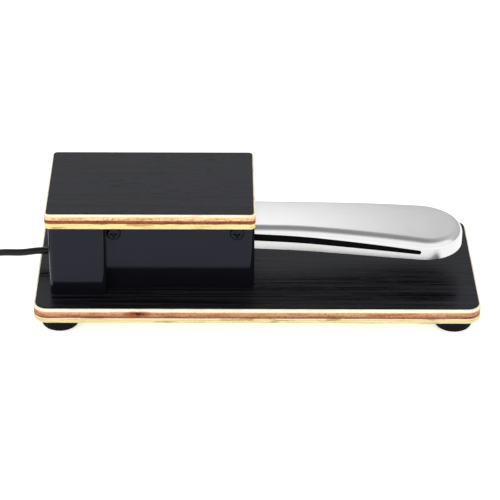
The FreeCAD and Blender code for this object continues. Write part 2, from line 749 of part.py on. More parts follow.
def pedal_above_skirt(heel, lift):
    """All that is above the pedal's lower edge."""
    toe = pedal_toe + PAST
    level = housing_x1 + PEDAL_SKIRT_LEVEL
    wide = 4 * PEDAL_TOE_RADIUS
    low = [V(x, -wide / 2, skirt_z(x) + lift) for x in (heel, level, toe)]
    high = [V(toe, -wide / 2, 2 * crest_z), V(heel, -wide / 2, 2 * crest_z)]
    return Part.Face(Part.makePolygon(low + high + low[:1])).extrude(V(0, wide, 0))


def pedal_under_crown(inset):
    """All that is under the pedal's top: the cross arc swept along the crest's arc."""
    half = 2 * PEDAL_TOE_RADIUS
    edge_z = crest_z - PEDAL_CROSS_RADIUS + math.sqrt((PEDAL_CROSS_RADIUS - inset) ** 2 - half ** 2)
    left, right = V(pedal_heel, -half, edge_z), V(pedal_heel, half, edge_z)
    arc = Part.Arc(left, V(pedal_heel, 0, crest_z - inset), right).toShape()
    foot = Part.makePolygon([right, V(pedal_heel, half, 0), V(pedal_heel, -half, 0), left])
    section = Part.Face(Part.Wire([arc] + foot.Edges))
    axis = V(pedal_heel, 0, crest_z - PEDAL_CREST_RADIUS)
    section.rotate(axis, Y_AXIS, PEDAL_SWEEP_START)
    return Part.Solid(section.revolve(axis, Y_AXIS, PEDAL_SWEEP))


def pedal_form(inset, heel, lift=0.0):
    """The pedal's solid form moved in by inset, with its shoulders rounded."""
    prism = Part.Face(pedal_outline(inset, heel)).extrude(V(0, 0, 2 * crest_z))
    form = prism.common(pedal_above_skirt(heel, lift)).common(pedal_under_crown(inset))
    crown = [edge for edge in form.Edges if is_crown(edge, inset, heel)]
    return form.makeFillet(PEDAL_SHOULDER - inset, crown)


def is_crown(edge, inset, heel):
    """True for the top's edges along the sides and round the toe."""
    middle = edge.valueAt((edge.FirstParameter + edge.LastParameter) / 2)
    points = [middle] + [vertex.Point for vertex in edge.Vertexes]
    on_top = all(abs(point.z - crown_at(point.x, point.y, inset)) < CROWN_NEAR for point in points)
    return on_top and middle.x > heel + CROWN_NEAR


def slot_face():
    """The long side slot, seen from the side: two arcs and a round tip."""
    heel = pedal_heel - PAST
    middle = housing_x1 + SLOT_MIDDLE
    end = housing_x1 + SLOT_END
    top = crest_z - SLOT_UNDER_CREST
    middle_height = (SLOT_HEIGHT_HEEL + SLOT_HEIGHT_TOE) / 2 + SLOT_MIDDLE_SWELL
    upper = [V(heel, 0, top), V(middle, 0, top - SLOT_FALL_MIDDLE), V(end, 0, top - SLOT_FALL_TOE)]
    lower = [upper[0] - V(0, 0, SLOT_HEIGHT_HEEL), upper[1] - V(0, 0, middle_height),
             upper[2] - V(0, 0, SLOT_HEIGHT_TOE)]
    tip = (upper[2] + lower[2]) * 0.5 + V(SLOT_HEIGHT_TOE / 2, 0, 0)
    edges = [Part.Arc(upper[0], upper[1], upper[2]).toShape(), Part.Arc(upper[2], tip, lower[2]).toShape(),
             Part.Arc(lower[2], lower[1], lower[0]).toShape(),
             Part.LineSegment(lower[0], upper[0]).toShape()]
    return Part.Face(Part.Wire(edges))


def pedal_cover():
    hollow = pedal_form(COVER_SHEET, pedal_heel - OPEN_HEEL, -OPEN_UNDER)
    shell = pedal_form(0, pedal_heel).cut(hollow)
    wide = 4 * PEDAL_TOE_RADIUS
    slot = slot_face()
    slot.translate(V(0, -wide / 2, 0))
    return shell.cut(slot.extrude(V(0, wide, 0)))


def pedal_core():
    outer_inset = COVER_SHEET + CORE_GAP
    heel = pedal_heel + CORE_RECESS
    outer = pedal_form(outer_inset, heel, CORE_RECESS)
    hollow = pedal_form(outer_inset + CORE_WALL, heel - OPEN_HEEL, -OPEN_UNDER)
    core = outer.cut(hollow)
    for x in pedal_screw_xs():
        top = crown_at(x) - outer_inset - CORE_WALL + CORE_BOSS_SINK
        core = core.fuse(rod((x, 0, lever_top), Z_AXIS, top - lever_top, CORE_BOSS_RADIUS))
        core = core.cut(rod((x, 0, lever_top), Z_AXIS, pedal_screw_bite(), HOUSING_SCREW_RADIUS))
    return core.removeSplitter()


def pedal_screw_bite():
    ceiling = crown_at(pedal_screw_xs()[-1]) - COVER_SHEET - CORE_GAP - CORE_WALL
    return ceiling - lever_top + CORE_BORE_SINK


def pedal_screw(x):
    return pan_screw((x, 0, lever_under), Z_AXIS, PEDAL_HEAD_RADIUS, HOUSING_HEAD_THICK,
                     HOUSING_SCREW_RADIUS, LEVER_THICK + pedal_screw_bite())


# switch

def switch_hole_places():
    return [(switch_x + side * SWITCH_HOLES / 2, switch_z0 + SWITCH_HOLE_RISE) for side in (-1, 1)]


def switch_body():
    half = SWITCH_LENGTH / 2
    case = block(switch_x - half, switch_x + half, switch_y0, switch_y1, switch_z0, switch_z1)
    case = round_uprights(case, SWITCH_CORNER)
    for x, z in switch_hole_places():
        case = case.cut(rod((x, switch_y0 - PAST, z), Y_AXIS, SWITCH_THICK + 2 * PAST, SWITCH_SCREW_RADIUS))
    slack = PLUNGER_SLACK
    long_half = PLUNGER_LENGTH / 2 + slack
    slim_half = PLUNGER_WIDTH / 2 + slack
    pocket = block(plunger_x - long_half, plunger_x + long_half, switch_y - slim_half, switch_y + slim_half,
                   switch_z0 - PAST, switch_z0 + PLUNGER_IN + PLUNGER_ROOM)
    return case.cut(pocket)


def switch_plunger():
    long_half = PLUNGER_LENGTH / 2
    slim_half = PLUNGER_WIDTH / 2
    button = block(plunger_x - long_half, plunger_x + long_half, switch_y - slim_half, switch_y + slim_half,
                   switch_z0 - PLUNGER_OUT, switch_z0 + PLUNGER_IN)
    low = switch_z0 - PLUNGER_OUT
    tip = [edge for edge in edges_at(button, low) if not is_along_x(edge)]
    return button.makeFillet(PLUNGER_ROUND, tip)


def switch_terminals():
    half = TERMINAL_WIDTH / 2
    thin = TERMINAL_THICK / 2
    end = switch_z1 + TERMINAL_LENGTH
    xs = [switch_x + step * TERMINAL_PITCH for step in (-1, 0, 1)]
    return group([block(x - half, x + half, switch_y - thin, switch_y + thin, switch_z1, end) for x in xs])


def bracket_screw_places():
    y = switch_y1 + BRACKET_SHEET + BRACKET_FLANGE / 2
    return [(switch_x + side * SWITCH_HOLES / 2, y) for side in (-1, 1)]


def switch_bracket():
    half = BRACKET_LENGTH / 2
    back = switch_y1 + BRACKET_SHEET
    upright = block(switch_x - half, switch_x + half, switch_y1, back, floor_top, switch_z1)
    flange = block(switch_x - half, switch_x + half, switch_y1, back + BRACKET_FLANGE,
                   floor_top, floor_top + BRACKET_SHEET)
    bracket = upright.fuse(flange).removeSplitter()
    through = BRACKET_SHEET + 2 * PAST
    for x, z in switch_hole_places():
        bracket = bracket.cut(rod((x, switch_y1 - PAST, z), Y_AXIS, through, SWITCH_SCREW_RADIUS))
    for x, y in bracket_screw_places():
        bracket = bracket.cut(rod((x, y, floor_top - PAST), Z_AXIS, through, SWITCH_SCREW_RADIUS))
    return bracket


def small_screw(head_at, direction, length):
    return pan_screw(head_at, direction, SMALL_HEAD_RADIUS, SMALL_HEAD_THICK, SWITCH_SCREW_RADIUS, length)


def switch_screws():
    reach = SWITCH_THICK + BRACKET_SHEET + NUT_THICK + THREAD_OUT
    return group([small_screw((x, switch_y0, z), Y_AXIS, reach) for x, z in switch_hole_places()])


def switch_nuts():
    nuts = []
    for x, z in switch_hole_places():
        start = V(x, switch_y1 + BRACKET_SHEET, z)
        turns = [2 * math.pi * corner / NUT_SIDES for corner in range(NUT_SIDES + 1)]
        corners = [start + V(math.cos(turn), 0, math.sin(turn)) * NUT_CORNER for turn in turns]
        nut = Part.Face(Part.makePolygon(corners)).extrude(Y_AXIS * NUT_THICK)
        nuts.append(nut.cut(rod(start, Y_AXIS, NUT_THICK, SWITCH_SCREW_RADIUS)))
    return group(nuts)


def bracket_screws():
    seat = floor_top + BRACKET_SHEET
    reach = BRACKET_SHEET + SHEET
    return group([small_screw((x, y, seat), -Z_AXIS, reach) for x, y in bracket_screw_places()])


# cable inside the housing

def cable_grommet():
    wall = HOUSING_WALL
    profile = [(-GROMMET_NOSE, CABLE_RADIUS), (-GROMMET_NOSE, GROMMET_TIP), (-GROMMET_LIP, GROMMET_NECK),
               (-GROMMET_LIP, GROMMET_FLANGE), (0, GROMMET_FLANGE), (0, GROMMET_NECK),
               (wall, GROMMET_NECK), (wall, GROMMET_FLANGE), (wall + GROMMET_LIP, GROMMET_FLANGE),
               (wall + GROMMET_LIP, CABLE_RADIUS)]
    return turned(profile, (housing_x0, 0, cable_z), X_AXIS)


def cable_inside():
    start = housing_x0 - GROMMET_NOSE
    return rod((start, 0, cable_z), X_AXIS, cable_end_x - start, CABLE_RADIUS)


def cable_channel():
    return rod((clamp_x0 - PAST, 0, cable_z), X_AXIS, CLAMP_LENGTH + 2 * PAST, CABLE_RADIUS)


def clamp_half(z0, z1):
    half = CLAMP_WIDTH / 2
    piece = round_uprights(block(clamp_x0, clamp_x1, -half, half, z0, z1), CLAMP_CORNER).cut(cable_channel())
    for x, y in clamp_screw_places():
        piece = piece.cut(rod((x, y, z0 - PAST), Z_AXIS, z1 - z0 + 2 * PAST, WOOD_SCREW_RADIUS))
    return piece


def switch_leads():
    """Two insulated wires from the cable's end up to the outer terminals."""
    rise_x = cable_end_x + LEAD_RISE
    joint_z = switch_z1 + TERMINAL_LENGTH - LEAD_STRIP
    near = switch_x - TERMINAL_PITCH - TERMINAL_WIDTH / 2
    far = switch_x + TERMINAL_PITCH
    side = LEAD_RADIUS + LEAD_GAP
    run_y = switch_y0 - LEAD_RADIUS - LEAD_GAP
    first = [(cable_end_x, side, cable_z), (rise_x, side, cable_z), (rise_x, side, joint_z - LEAD_SWEEP),
             (near - LEAD_RUN, switch_y, joint_z), (near, switch_y, joint_z)]
    second = [(cable_end_x, -side, cable_z), (rise_x, -side, cable_z), (rise_x, -side, joint_z - LEAD_SWEEP),
              (near, run_y, joint_z), (far, run_y, joint_z), (far, switch_y - TERMINAL_THICK / 2, joint_z)]
    return group([tube(first, LEAD_RADIUS, "first lead"), tube(second, LEAD_RADIUS, "second lead")])


# cord, coil and plug

def cord_coil():
    centre = V(COIL_CENTRE[0], COIL_CENTRE[1], COIL_BOTTOM)
    height = COIL_TOP - COIL_BOTTOM
    ring = Part.makeCylinder(COIL_OUTER, height, centre).cut(Part.makeCylinder(COIL_INNER, height, centre))
    rims = edges_at(ring, COIL_BOTTOM) + edges_at(ring, COIL_TOP)
    return ring.makeFillet(COIL_ROUND, rims)


def coil_tie():
    """A flat strap round the coil's section, turned about the coil's own axis."""
    inner = (COIL_INNER, COIL_OUTER, COIL_BOTTOM, COIL_TOP)
    outer = (COIL_INNER - TIE_THICK, COIL_OUTER + TIE_THICK, COIL_BOTTOM - TIE_THICK, COIL_TOP + TIE_THICK)
    bands = []
    for r0, r1, z0, z1 in (outer, inner):
        corners = [V(r0, 0, z0), V(r1, 0, z0), V(r1, 0, z1), V(r0, 0, z1), V(r0, 0, z0)]
        bands.append(Part.Face(Part.makePolygon(corners)).revolve(V(0, 0, 0), Z_AXIS, TIE_ARC))
    strap = bands[0].cut(bands[1])
    strap.rotate(V(0, 0, 0), Z_AXIS, TIE_AT - TIE_ARC / 2)
    strap.translate(V(COIL_CENTRE[0], COIL_CENTRE[1], 0))
    return strap


def plug_start():
    """Where the cord enters the plug, and the plug's direction."""
    last, before = V(*TAIL_ROUTE[-1]), V(*TAIL_ROUTE[-2])
    return last, V(last.x - before.x, last.y - before.y, 0).normalize()


def plug_grip():
    start, ahead = plug_start()
    length = PLUG_BOOT_LENGTH + PLUG_GRIP_LENGTH
    profile = [(0, 0), (0, PLUG_BOOT_RADIUS), (PLUG_BOOT_LENGTH, PLUG_BOOT_END),
               (PLUG_BOOT_LENGTH + PLUG_FLARE, PLUG_GRIP_RADIUS), (length, PLUG_GRIP_RADIUS), (length, 0)]
    grip = turned(profile, start, ahead)
    end = [edge for edge in grip.Edges if is_ring(edge, start + ahead * length)]
    return grip.makeFillet(PLUG_GRIP_ROUND, end)


def is_ring(edge, centre):
    return hasattr(edge.Curve, "Center") and edge.Curve.Center.distanceToPoint(centre) < NEAR


def plug_along(distance):
    start, ahead = plug_start()
    return start + ahead * (PLUG_BOOT_LENGTH + PLUG_GRIP_LENGTH + distance)


def plug_sleeve():
    end = PLUG_COLLAR_LENGTH + PLUG_SLEEVE_LENGTH
    profile = [(0, 0), (0, PLUG_COLLAR_RADIUS), (PLUG_COLLAR_LENGTH, PLUG_COLLAR_RADIUS),
               (PLUG_COLLAR_LENGTH, PLUG_RADIUS), (end, PLUG_RADIUS), (end, 0)]
    return turned(profile, plug_along(0), plug_start()[1])


def plug_insulator():
    start = plug_along(PLUG_COLLAR_LENGTH + PLUG_SLEEVE_LENGTH)
    return rod(start, plug_start()[1], PLUG_RING_LENGTH, PLUG_RADIUS - PLUG_RING_STEP)


def plug_tip():
    """The tip's outline is given as (distance along it, depth under the barrel's radius)."""
    start = plug_along(PLUG_COLLAR_LENGTH + PLUG_SLEEVE_LENGTH + PLUG_RING_LENGTH)
    waist = [(along, PLUG_RADIUS - depth) for along, depth in PLUG_TIP_OUTLINE]
    return turned([(0, 0), (0, PLUG_RADIUS)] + waist + [(PLUG_TIP_LENGTH, 0)], start, plug_start()[1])


def all_pieces():
    pieces = {}
    pieces["base_board"], pieces["base_laminate"] = base_pieces()
    pieces["top_board"], pieces["top_laminate"] = top_pieces()
    for name, (x, y) in foot_places().items():
        pieces[name] = foot(x, y)
    pieces["foot_screws"] = group([foot_screw(x, y) for x, y in foot_places().values()])
    pieces["housing"] = housing()
    pieces["housing_screws"] = group([housing_screw(x, side) for x in screw_xs for side in (-1, 1)])
    pieces["top_board_screws"] = group([roof_screw(x, y) for x, y in roof_screw_places()])
    pieces["chassis"] = chassis()
    pieces["chassis_screws"] = group([deck_screw(x, y, floor_top) for x, y in chassis_screw_places()])
    pieces["stop_bar"] = stop_bar()
    pieces["up_stop_pad"] = stop_pad()
    pieces["down_stop_bumper"] = bumper()
    pieces["bumper_screw"] = deck_screw(bumper_x, 0, bumper_top() - BUMPER_SEAT_DEPTH)
    pieces["spring_seat"] = spring_seat()
    pieces["return_spring"] = return_spring()
    pieces["spring_spigot"] = spring_spigot()
    pieces["pivot_pin"] = pivot_pin()
    pieces["pivot_clips"] = group([pivot_clip(side) for side in (-1, 1)])
    pieces["pivot_washers"] = group([pivot_washer(side) for side in (-1, 1)])
    pieces["pivot_tube"] = pivot_tube()
    pieces["lever_bar"] = lever_bar()
    pieces["pedal_cover"] = pedal_cover()
    pieces["pedal_core"] = pedal_core()
    pieces["pedal_screws"] = group([pedal_screw(x) for x in pedal_screw_xs()])
    pieces["switch_body"] = switch_body()
    pieces["switch_plunger"] = switch_plunger()
    pieces["switch_terminals"] = switch_terminals()
    pieces["switch_bracket"] = switch_bracket()
    pieces["switch_screws"] = switch_screws()
    pieces["switch_nuts"] = switch_nuts()
    pieces["bracket_screws"] = bracket_screws()
    pieces["cable_grommet"] = cable_grommet()
    pieces["cable_inside"] = cable_inside()
    pieces["clamp_base"] = clamp_half(deck, cable_z)
    pieces["clamp_cap"] = clamp_half(cable_z, cable_z + CLAMP_CAP)
    pieces["clamp_screws"] = group([deck_screw(x, y, cable_z + CLAMP_CAP) for x, y in clamp_screw_places()])
    pieces["switch_leads"] = switch_leads()
    pieces["cord_tube"] = tube(CORD_ROUTE, CABLE_RADIUS, "cord")
    pieces["cord_coil"] = cord_coil()
    pieces["cord_tail"] = tube(TAIL_ROUTE, CABLE_RADIUS, "tail")
    pieces["coil_tie"] = coil_tie()
    pieces["plug_grip"] = plug_grip()
    pieces["plug_sleeve"] = plug_sleeve()
    pieces["plug_insulator"] = plug_insulator()
    pieces["plug_tip"] = plug_tip()
    return pieces


os.makedirs("parts", exist_ok=True)
for name, shape in all_pieces().items():
    if not shape.isValid():
        print("not valid:", name)
    shape.exportStep("parts/" + name + ".step")
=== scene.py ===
import math

import bmesh
import bpy
import numpy as np
from mathutils import Matrix, Vector


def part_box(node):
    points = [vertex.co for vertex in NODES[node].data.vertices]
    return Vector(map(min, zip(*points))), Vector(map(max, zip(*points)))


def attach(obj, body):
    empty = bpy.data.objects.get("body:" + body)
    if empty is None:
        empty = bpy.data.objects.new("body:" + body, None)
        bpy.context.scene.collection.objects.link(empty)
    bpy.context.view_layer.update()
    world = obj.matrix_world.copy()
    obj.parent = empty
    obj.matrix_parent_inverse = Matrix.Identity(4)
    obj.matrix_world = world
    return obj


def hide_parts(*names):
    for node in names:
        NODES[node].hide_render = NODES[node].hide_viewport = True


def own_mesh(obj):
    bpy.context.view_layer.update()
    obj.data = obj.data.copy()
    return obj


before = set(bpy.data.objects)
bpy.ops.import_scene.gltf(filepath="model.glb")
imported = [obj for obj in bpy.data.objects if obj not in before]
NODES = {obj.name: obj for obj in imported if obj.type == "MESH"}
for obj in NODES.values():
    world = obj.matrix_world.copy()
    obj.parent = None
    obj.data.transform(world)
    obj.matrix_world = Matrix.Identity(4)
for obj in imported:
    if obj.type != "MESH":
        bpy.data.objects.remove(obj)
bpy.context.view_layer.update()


# --- View, floor and light --------------------------------------------------------------
# The pedal stands on white paper that glows a little. Pale walls stand round it under a grey
# ceiling, which gives the chrome its darker band, and two lamps that it doesn't mirror light
# the paper softly.

VIEW_PLACE = (-0.02168, -1.01963, 0.63727)
VIEW_TILT = math.radians(59.011)
VIEW_ROLL = math.radians(0.14)
VIEW_LENS = 149.2
VIEW_SHIFT = 0.0631
FLOOR_REACH = 6.0


def add_view():
    """A long lens looks down on the pedal from in front."""
    lens = bpy.data.cameras.new("view")
    lens.lens = VIEW_LENS
    lens.sensor_width = 36.0
    lens.shift_x = VIEW_SHIFT
    lens.clip_end = 20.0
    camera = bpy.data.objects.new("view", lens)
    bpy.context.scene.collection.objects.link(camera)
    turned = Matrix.Rotation(VIEW_TILT, 4, "X") @ Matrix.Rotation(VIEW_ROLL, 4, "Z")
    camera.matrix_world = Matrix.Translation(VIEW_PLACE) @ turned
    bpy.context.scene.camera = camera


def add_lamp(name, place, side, power):
    """A square of light at place that faces the pedal and shows in no reflection."""
    light = bpy.data.lights.new(name, "AREA")
    light.shape = "SQUARE"
    light.size = side
    light.energy = power
    lamp = bpy.data.objects.new(name, light)
    bpy.context.scene.collection.objects.link(lamp)
    turned = Vector(place).to_track_quat("Z", "Y").to_matrix().to_4x4()
    lamp.matrix_world = Matrix.Translation(place) @ turned
    lamp.visible_glossy = False


class Flow:
    """A value that comes out of a node. Sums written on it add Math nodes."""

    def __init__(self, graph, socket):
        self.graph = graph
        self.socket = socket

    def maths(self, operation, *values):
        """One Math node on up to three values."""
        return self.graph.node("ShaderNodeMath", {"operation": operation}, dict(enumerate(values)))

    def __add__(self, other):
        return self.maths("ADD", self, other)

    def __radd__(self, other):
        return self.maths("ADD", other, self)

    def __sub__(self, other):
        return self.maths("SUBTRACT", self, other)

    def __rsub__(self, other):
        return self.maths("SUBTRACT", other, self)

    def __mul__(self, other):
        return self.maths("MULTIPLY", self, other)

    def __rmul__(self, other):
        return self.maths("MULTIPLY", other, self)

    def __truediv__(self, other):
        return self.maths("DIVIDE", self, other)

    def between(self, low, high):
        """0 below low, 1 above high, and a smooth rise in the middle."""
        sockets = {"Value": self, "From Min": low, "From Max": high}
        return self.graph.node("ShaderNodeMapRange", {"interpolation_type": "SMOOTHSTEP"}, sockets)


class Graph:
    """A node tree that grows node by node, towards one shader."""

    def __init__(self, owner, shader):
        owner.use_nodes = True
        self.tree = owner.node_tree
        self.nodes = self.tree.nodes
        self.shader = self.nodes[shader]

    def node(self, kind, settings, sockets, output=0):
        """Any node: its settings first, then its sockets' values or links. Gives one output."""
        made = self.nodes.new(kind)
        for setting, value in settings.items():
            if setting == "stops":
                self.set_stops(made.color_ramp, value)
            else:
                setattr(made, setting, value)
        for socket, value in sockets.items():
            self.feed(made.inputs[socket], value)
        return Flow(self, made.outputs[output])

    def set_stops(self, ramp, stops):
        """A ramp starts with two stops, and gets the rest of (place, colour) here."""
        for _ in stops[2:]:
            ramp.elements.new(0.5)
        for element, (place, colour) in zip(ramp.elements, stops):
            element.position = place
            element.color = (*colour, 1.0)

    def feed(self, socket, value):
        """A flow is linked, and a plain value is set."""
        if isinstance(value, Flow):
            self.tree.links.new(value.socket, socket)
        else:
            socket.default_value = value

    def place(self, scale=(1.0, 1.0, 1.0), source="Object"):
        """Coordinates in metres, stretched by scale."""
        at = self.node("ShaderNodeTexCoord", {}, {}, source)
        return self.node("ShaderNodeMapping", {}, {"Vector": at, "Scale": scale})

    def axis(self, place, name):
        """One of a place's X, Y and Z."""
        return self.node("ShaderNodeSeparateXYZ", {}, {"Vector": place}, name)

    def noise(self, place, scale, detail=3.0, roughness=0.5, warp=0.0):
        """Soft blotches from 0 to 1, a scale of them to the metre."""
        sockets = {"Vector": place, "Scale": scale, "Detail": detail, "Roughness": roughness,
                   "Distortion": warp}
        return self.node("ShaderNodeTexNoise", {}, sockets)

    def ramp(self, amount, stops):
        """Colours that follow each other as the amount goes from 0 to 1."""
        return self.node("ShaderNodeValToRGB", {"stops": stops}, {"Fac": amount})

    def blend(self, amount, first, second, mode="MIX"):
        """The first colour, and the second where amount is 1."""
        colours = [value if isinstance(value, Flow) else (*value, 1.0) for value in (first, second)]
        settings = {"data_type": "RGBA", "blend_type": mode}
        return self.node("ShaderNodeMix", settings, {0: amount, 6: colours[0], 7: colours[1]}, 2)

    def bump(self, height, depth):
        """Height from 0 to 1 becomes a relief of that depth in metres."""
        return self.node("ShaderNodeBump", {}, {"Height": height, "Distance": depth})

    def connect(self, **flows):
        """The shader's sockets that change from point to point."""
        for socket, flow in flows.items():
            self.feed(self.shader.inputs[socket.replace("_", " ")], flow)


class Finish(Graph):
    """A material. Its even values are set on the shader itself."""

    def __init__(self, name, **values):
        self.material = bpy.data.materials.new(name)
        super().__init__(self.material, "Principled BSDF")
        for socket, value in values.items():
            self.shader.inputs[socket.replace("_", " ")].default_value = value

    def finish(self, **flows):
        """The material, once its changing values are connected."""
        self.connect(**flows)
        return self.material


def add_floor():
    """A sheet of white paper with a faint mottle, which gives back a little light of its own."""
    corners = [(x * FLOOR_REACH, y * FLOOR_REACH, 0.0) for x, y in ((-1, -1), (1, -1), (1, 1), (-1, 1))]
    floor_mesh = bpy.data.meshes.new("floor")
    floor_mesh.from_pydata(corners, [], [(0, 1, 2, 3)])
    paper = Finish("floor_paper", Roughness=0.85, Specular_IOR_Level=0.1, Emission_Strength=0.62)
    grain = paper.noise(paper.place(), 40.0)
    tone = paper.blend(grain, (0.86, 0.86, 0.86), (0.88, 0.88, 0.88))
    floor_mesh.materials.append(paper.finish(Base_Color=tone, Emission_Color=tone))
    floor = bpy.data.objects.new("floor", floor_mesh)
    bpy.context.scene.collection.objects.link(floor)


# How bright the room is at heights from 0 at the horizon to 1 straight up: the wall behind the
# pedal, that wall's right half, and the room in front.
BACK_WALL = ((0.0, 0.42), (0.10, 0.52), (0.25, 0.88), (0.42, 1.27), (0.68, 1.60), (0.77, 1.08),
             (0.88, 0.45), (1.0, 0.36))
SIDE_WALL = ((0.0, 0.52), (0.12, 0.64), (0.30, 0.73), (0.62, 0.80), (0.76, 0.72), (0.90, 0.54),
             (1.0, 0.38))
FRONT_WALL = ((0.0, 1.1), (0.10, 1.35), (0.52, 1.42), (0.70, 1.08), (0.86, 0.46), (1.0, 0.34))


def add_room():
    """Grey all over, brighter or darker with the height looked at. The three walls run softly
    into each other."""
    world = bpy.data.worlds.new("room")
    room = Graph(world, "Background")
    way = room.node("ShaderNodeTexCoord", {}, {}, "Generated")
    height = room.axis(way, "Z")
    back, side, front = [room.ramp(height, [(at, (grey, grey, grey)) for at, grey in wall])
                         for wall in (BACK_WALL, SIDE_WALL, FRONT_WALL)]
    right = room.axis(way, "X").between(0.02, 0.26)
    behind = room.axis(way, "Y").between(-0.12, 0.12)
    room.connect(Color=room.blend(behind, front, room.blend(right, back, side)))
    bpy.context.scene.world = world


bpy.context.scene.view_settings.view_transform = "Standard"
add_view()
add_floor()
add_room()
add_lamp("over_lamp", place=(0.0, 0.0, 2.6), side=2.6, power=12.0)
add_lamp("front_lamp", place=(-0.8, -2.4, 1.4), side=1.8, power=3.0)


# --- Cable ------------------------------------------------------------------------------
# A thin two-core cable with a smooth black PVC jacket, 1.5 m long. It leaves the end wall
# through a rubber grommet, and its unused length is wound into a coil behind the base.

def millimetres(*values):
    """Millimetres as Blender's metres."""
    return (np.array(values) / 1000.0).tolist()


CABLE = 0.004
COIL_MIDDLE = millimetres(-200.0, 0.0)
COIL_LAYERS = millimetres(2.6, 6.6, 10.6, 14.6)
COIL_RADII = millimetres(27.7, 18.4)
COIL_TURNS = 9.25
COIL_START = 90.0
POINTS_PER_TURN = 16
# The way to the coil and the way from it to the plug, in millimetres.
ROUTE = [(-119.5, 0.0, 24.4), (-125.5, 0.0, 24.4), (-134.5, 0.5, 22.4), (-147.5, 3.4, 21.2),
         (-160.0, 8.9, 15.2), (-172.0, 16.5, 7.0), (-185.0, 23.8, 2.6), (-200.0, 27.7, 2.6)]
TAIL = [(-227.7, 0.0, 14.6), (-227.7, -11.5, 13.2), (-227.3, -23.0, 9.4),
        (-226.5, -34.0, 6.3), (-226.2, -42.0, 5.6), (-226.2, -48.0, 5.6)]


def coil_points():
    """Turns about an upright axis: the angle grows evenly; in each of the four layers the radius goes
    straight from outside to inside or back, and at a layer's end the height steps up by a diameter."""
    steps = int(COIL_TURNS * POINTS_PER_TURN)
    turned = np.arange(1, steps) / steps
    risen = turned * len(COIL_LAYERS)
    layer = risen.astype(int)
    along = np.where(layer % 2, 1.0 - (risen - layer), risen - layer)
    radius = COIL_RADII[0] + (COIL_RADII[1] - COIL_RADII[0]) * along
    angle = np.radians(COIL_START + 360.0 * COIL_TURNS * turned)
    plan = np.array(COIL_MIDDLE) + radius[:, None] * np.stack((np.cos(angle), np.sin(angle)), axis=-1)
    return np.column_stack((plan, np.take(COIL_LAYERS, layer)))


def cable_line():
    """One smooth spline: the way to the coil, its turns, and the way to the plug."""
    points = np.vstack((millimetres(*ROUTE), coil_points(), millimetres(*TAIL)))
    curve = bpy.data.curves.new("cable", "CURVE")
    curve.dimensions = "3D"
    spline = curve.splines.new("NURBS")
    spline.points.add(len(points) - 1)
    spline.points.foreach_set("co", np.column_stack((points, np.ones(len(points)))).ravel())
    spline.order_u = 3
    spline.use_endpoint_u = True
    spline.resolution_u = 4
    curve.bevel_depth = CABLE / 2
    curve.bevel_resolution = 4
    curve.use_fill_caps = True
    cable = bpy.data.objects.new("cable", curve)
    bpy.context.scene.collection.objects.link(cable)
    return cable


cable = cable_line()
jacket = Finish("cable_jacket", Roughness=0.30, Specular_IOR_Level=0.22)
mottle = jacket.noise(jacket.place(), 900.0)
cable.data.materials.append(jacket.finish(
    Base_Color=jacket.blend(mottle, (0.0030, 0.0030, 0.0034), (0.0060, 0.0060, 0.0066)),
    Normal=jacket.bump(mottle, 0.00002)))
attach(cable, "base")
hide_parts("cord_tube", "cord_coil", "cord_tail")


# --- Plywood boards ---------------------------------------------------------------------
# The base and the top are 9 mm plywood, sawn to size with sanded, lightly eased edges, so
# every ply shows on their sides: pale face plies, a reddish cross ply and dark glue lines.

SAME_POINT = 2e-6
THIN_FACE = 1e-7
CORNER_POINTS = 10
BOARD_THICK = 0.009
EDGE_EASE = 0.0008
EDGE_ROWS = 34
GLUE_LINES = (0.14, 0.32, 0.50, 0.74)
GLUE_HALF = 0.022
GLUE_SINK = 0.00005
SAW_RIPPLE = 0.00001
SAW_WAVES = ((1.7, 9.0), (4.3, -17.0))
MARKS_PER_RADIAN = 40
MARKS_PER_METRE = 90


def paint(red, green, blue):
    """A colour chart's 0 to 255 values as the light that the paint gives back."""
    parts = [value / 255.0 for value in (red, green, blue)]
    return tuple(part / 12.92 if part <= 0.04045 else ((part + 0.055) / 1.055) ** 2.4 for part in parts)


def close_up(name, grids, crease=35.0):
    """One mesh from grids of points (rows x columns x 3). Four neighbours make a face, points
    that fall together are merged, which shuts seams and poles, and the faces are turned outwards."""
    points, faces, first = [], [], 0
    for grid in grids:
        rows, columns = grid.shape[:2]
        index = first + np.arange(rows * columns).reshape(rows, columns)
        corners = (index[:-1, :-1], index[:-1, 1:], index[1:, 1:], index[1:, :-1])
        faces.append(np.stack(corners, axis=-1).reshape(-1, 4))
        points.append(grid.reshape(-1, 3))
        first += rows * columns
    mesh = bpy.data.meshes.new(name)
    mesh.from_pydata(np.concatenate(points).tolist(), [], np.concatenate(faces).tolist())
    work = bmesh.new()
    work.from_mesh(mesh)
    bmesh.ops.remove_doubles(work, verts=work.verts, dist=SAME_POINT)
    bmesh.ops.dissolve_degenerate(work, edges=work.edges, dist=THIN_FACE)
    bmesh.ops.recalc_face_normals(work, faces=work.faces)
    work.to_mesh(mesh)
    work.free()
    mesh.polygons.foreach_set("use_smooth", [True] * len(mesh.polygons))
    mesh.set_sharp_from_angle(angle=math.radians(crease))
    piece = bpy.data.objects.new(name, mesh)
    bpy.context.scene.collection.objects.link(piece)
    return piece


def fit(piece, body, slot, material, *nodes):
    """The piece moves with a body, stands for CAD nodes and wears a material."""
    piece.data.materials.append(material)
    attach(piece, body)
    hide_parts(*nodes)


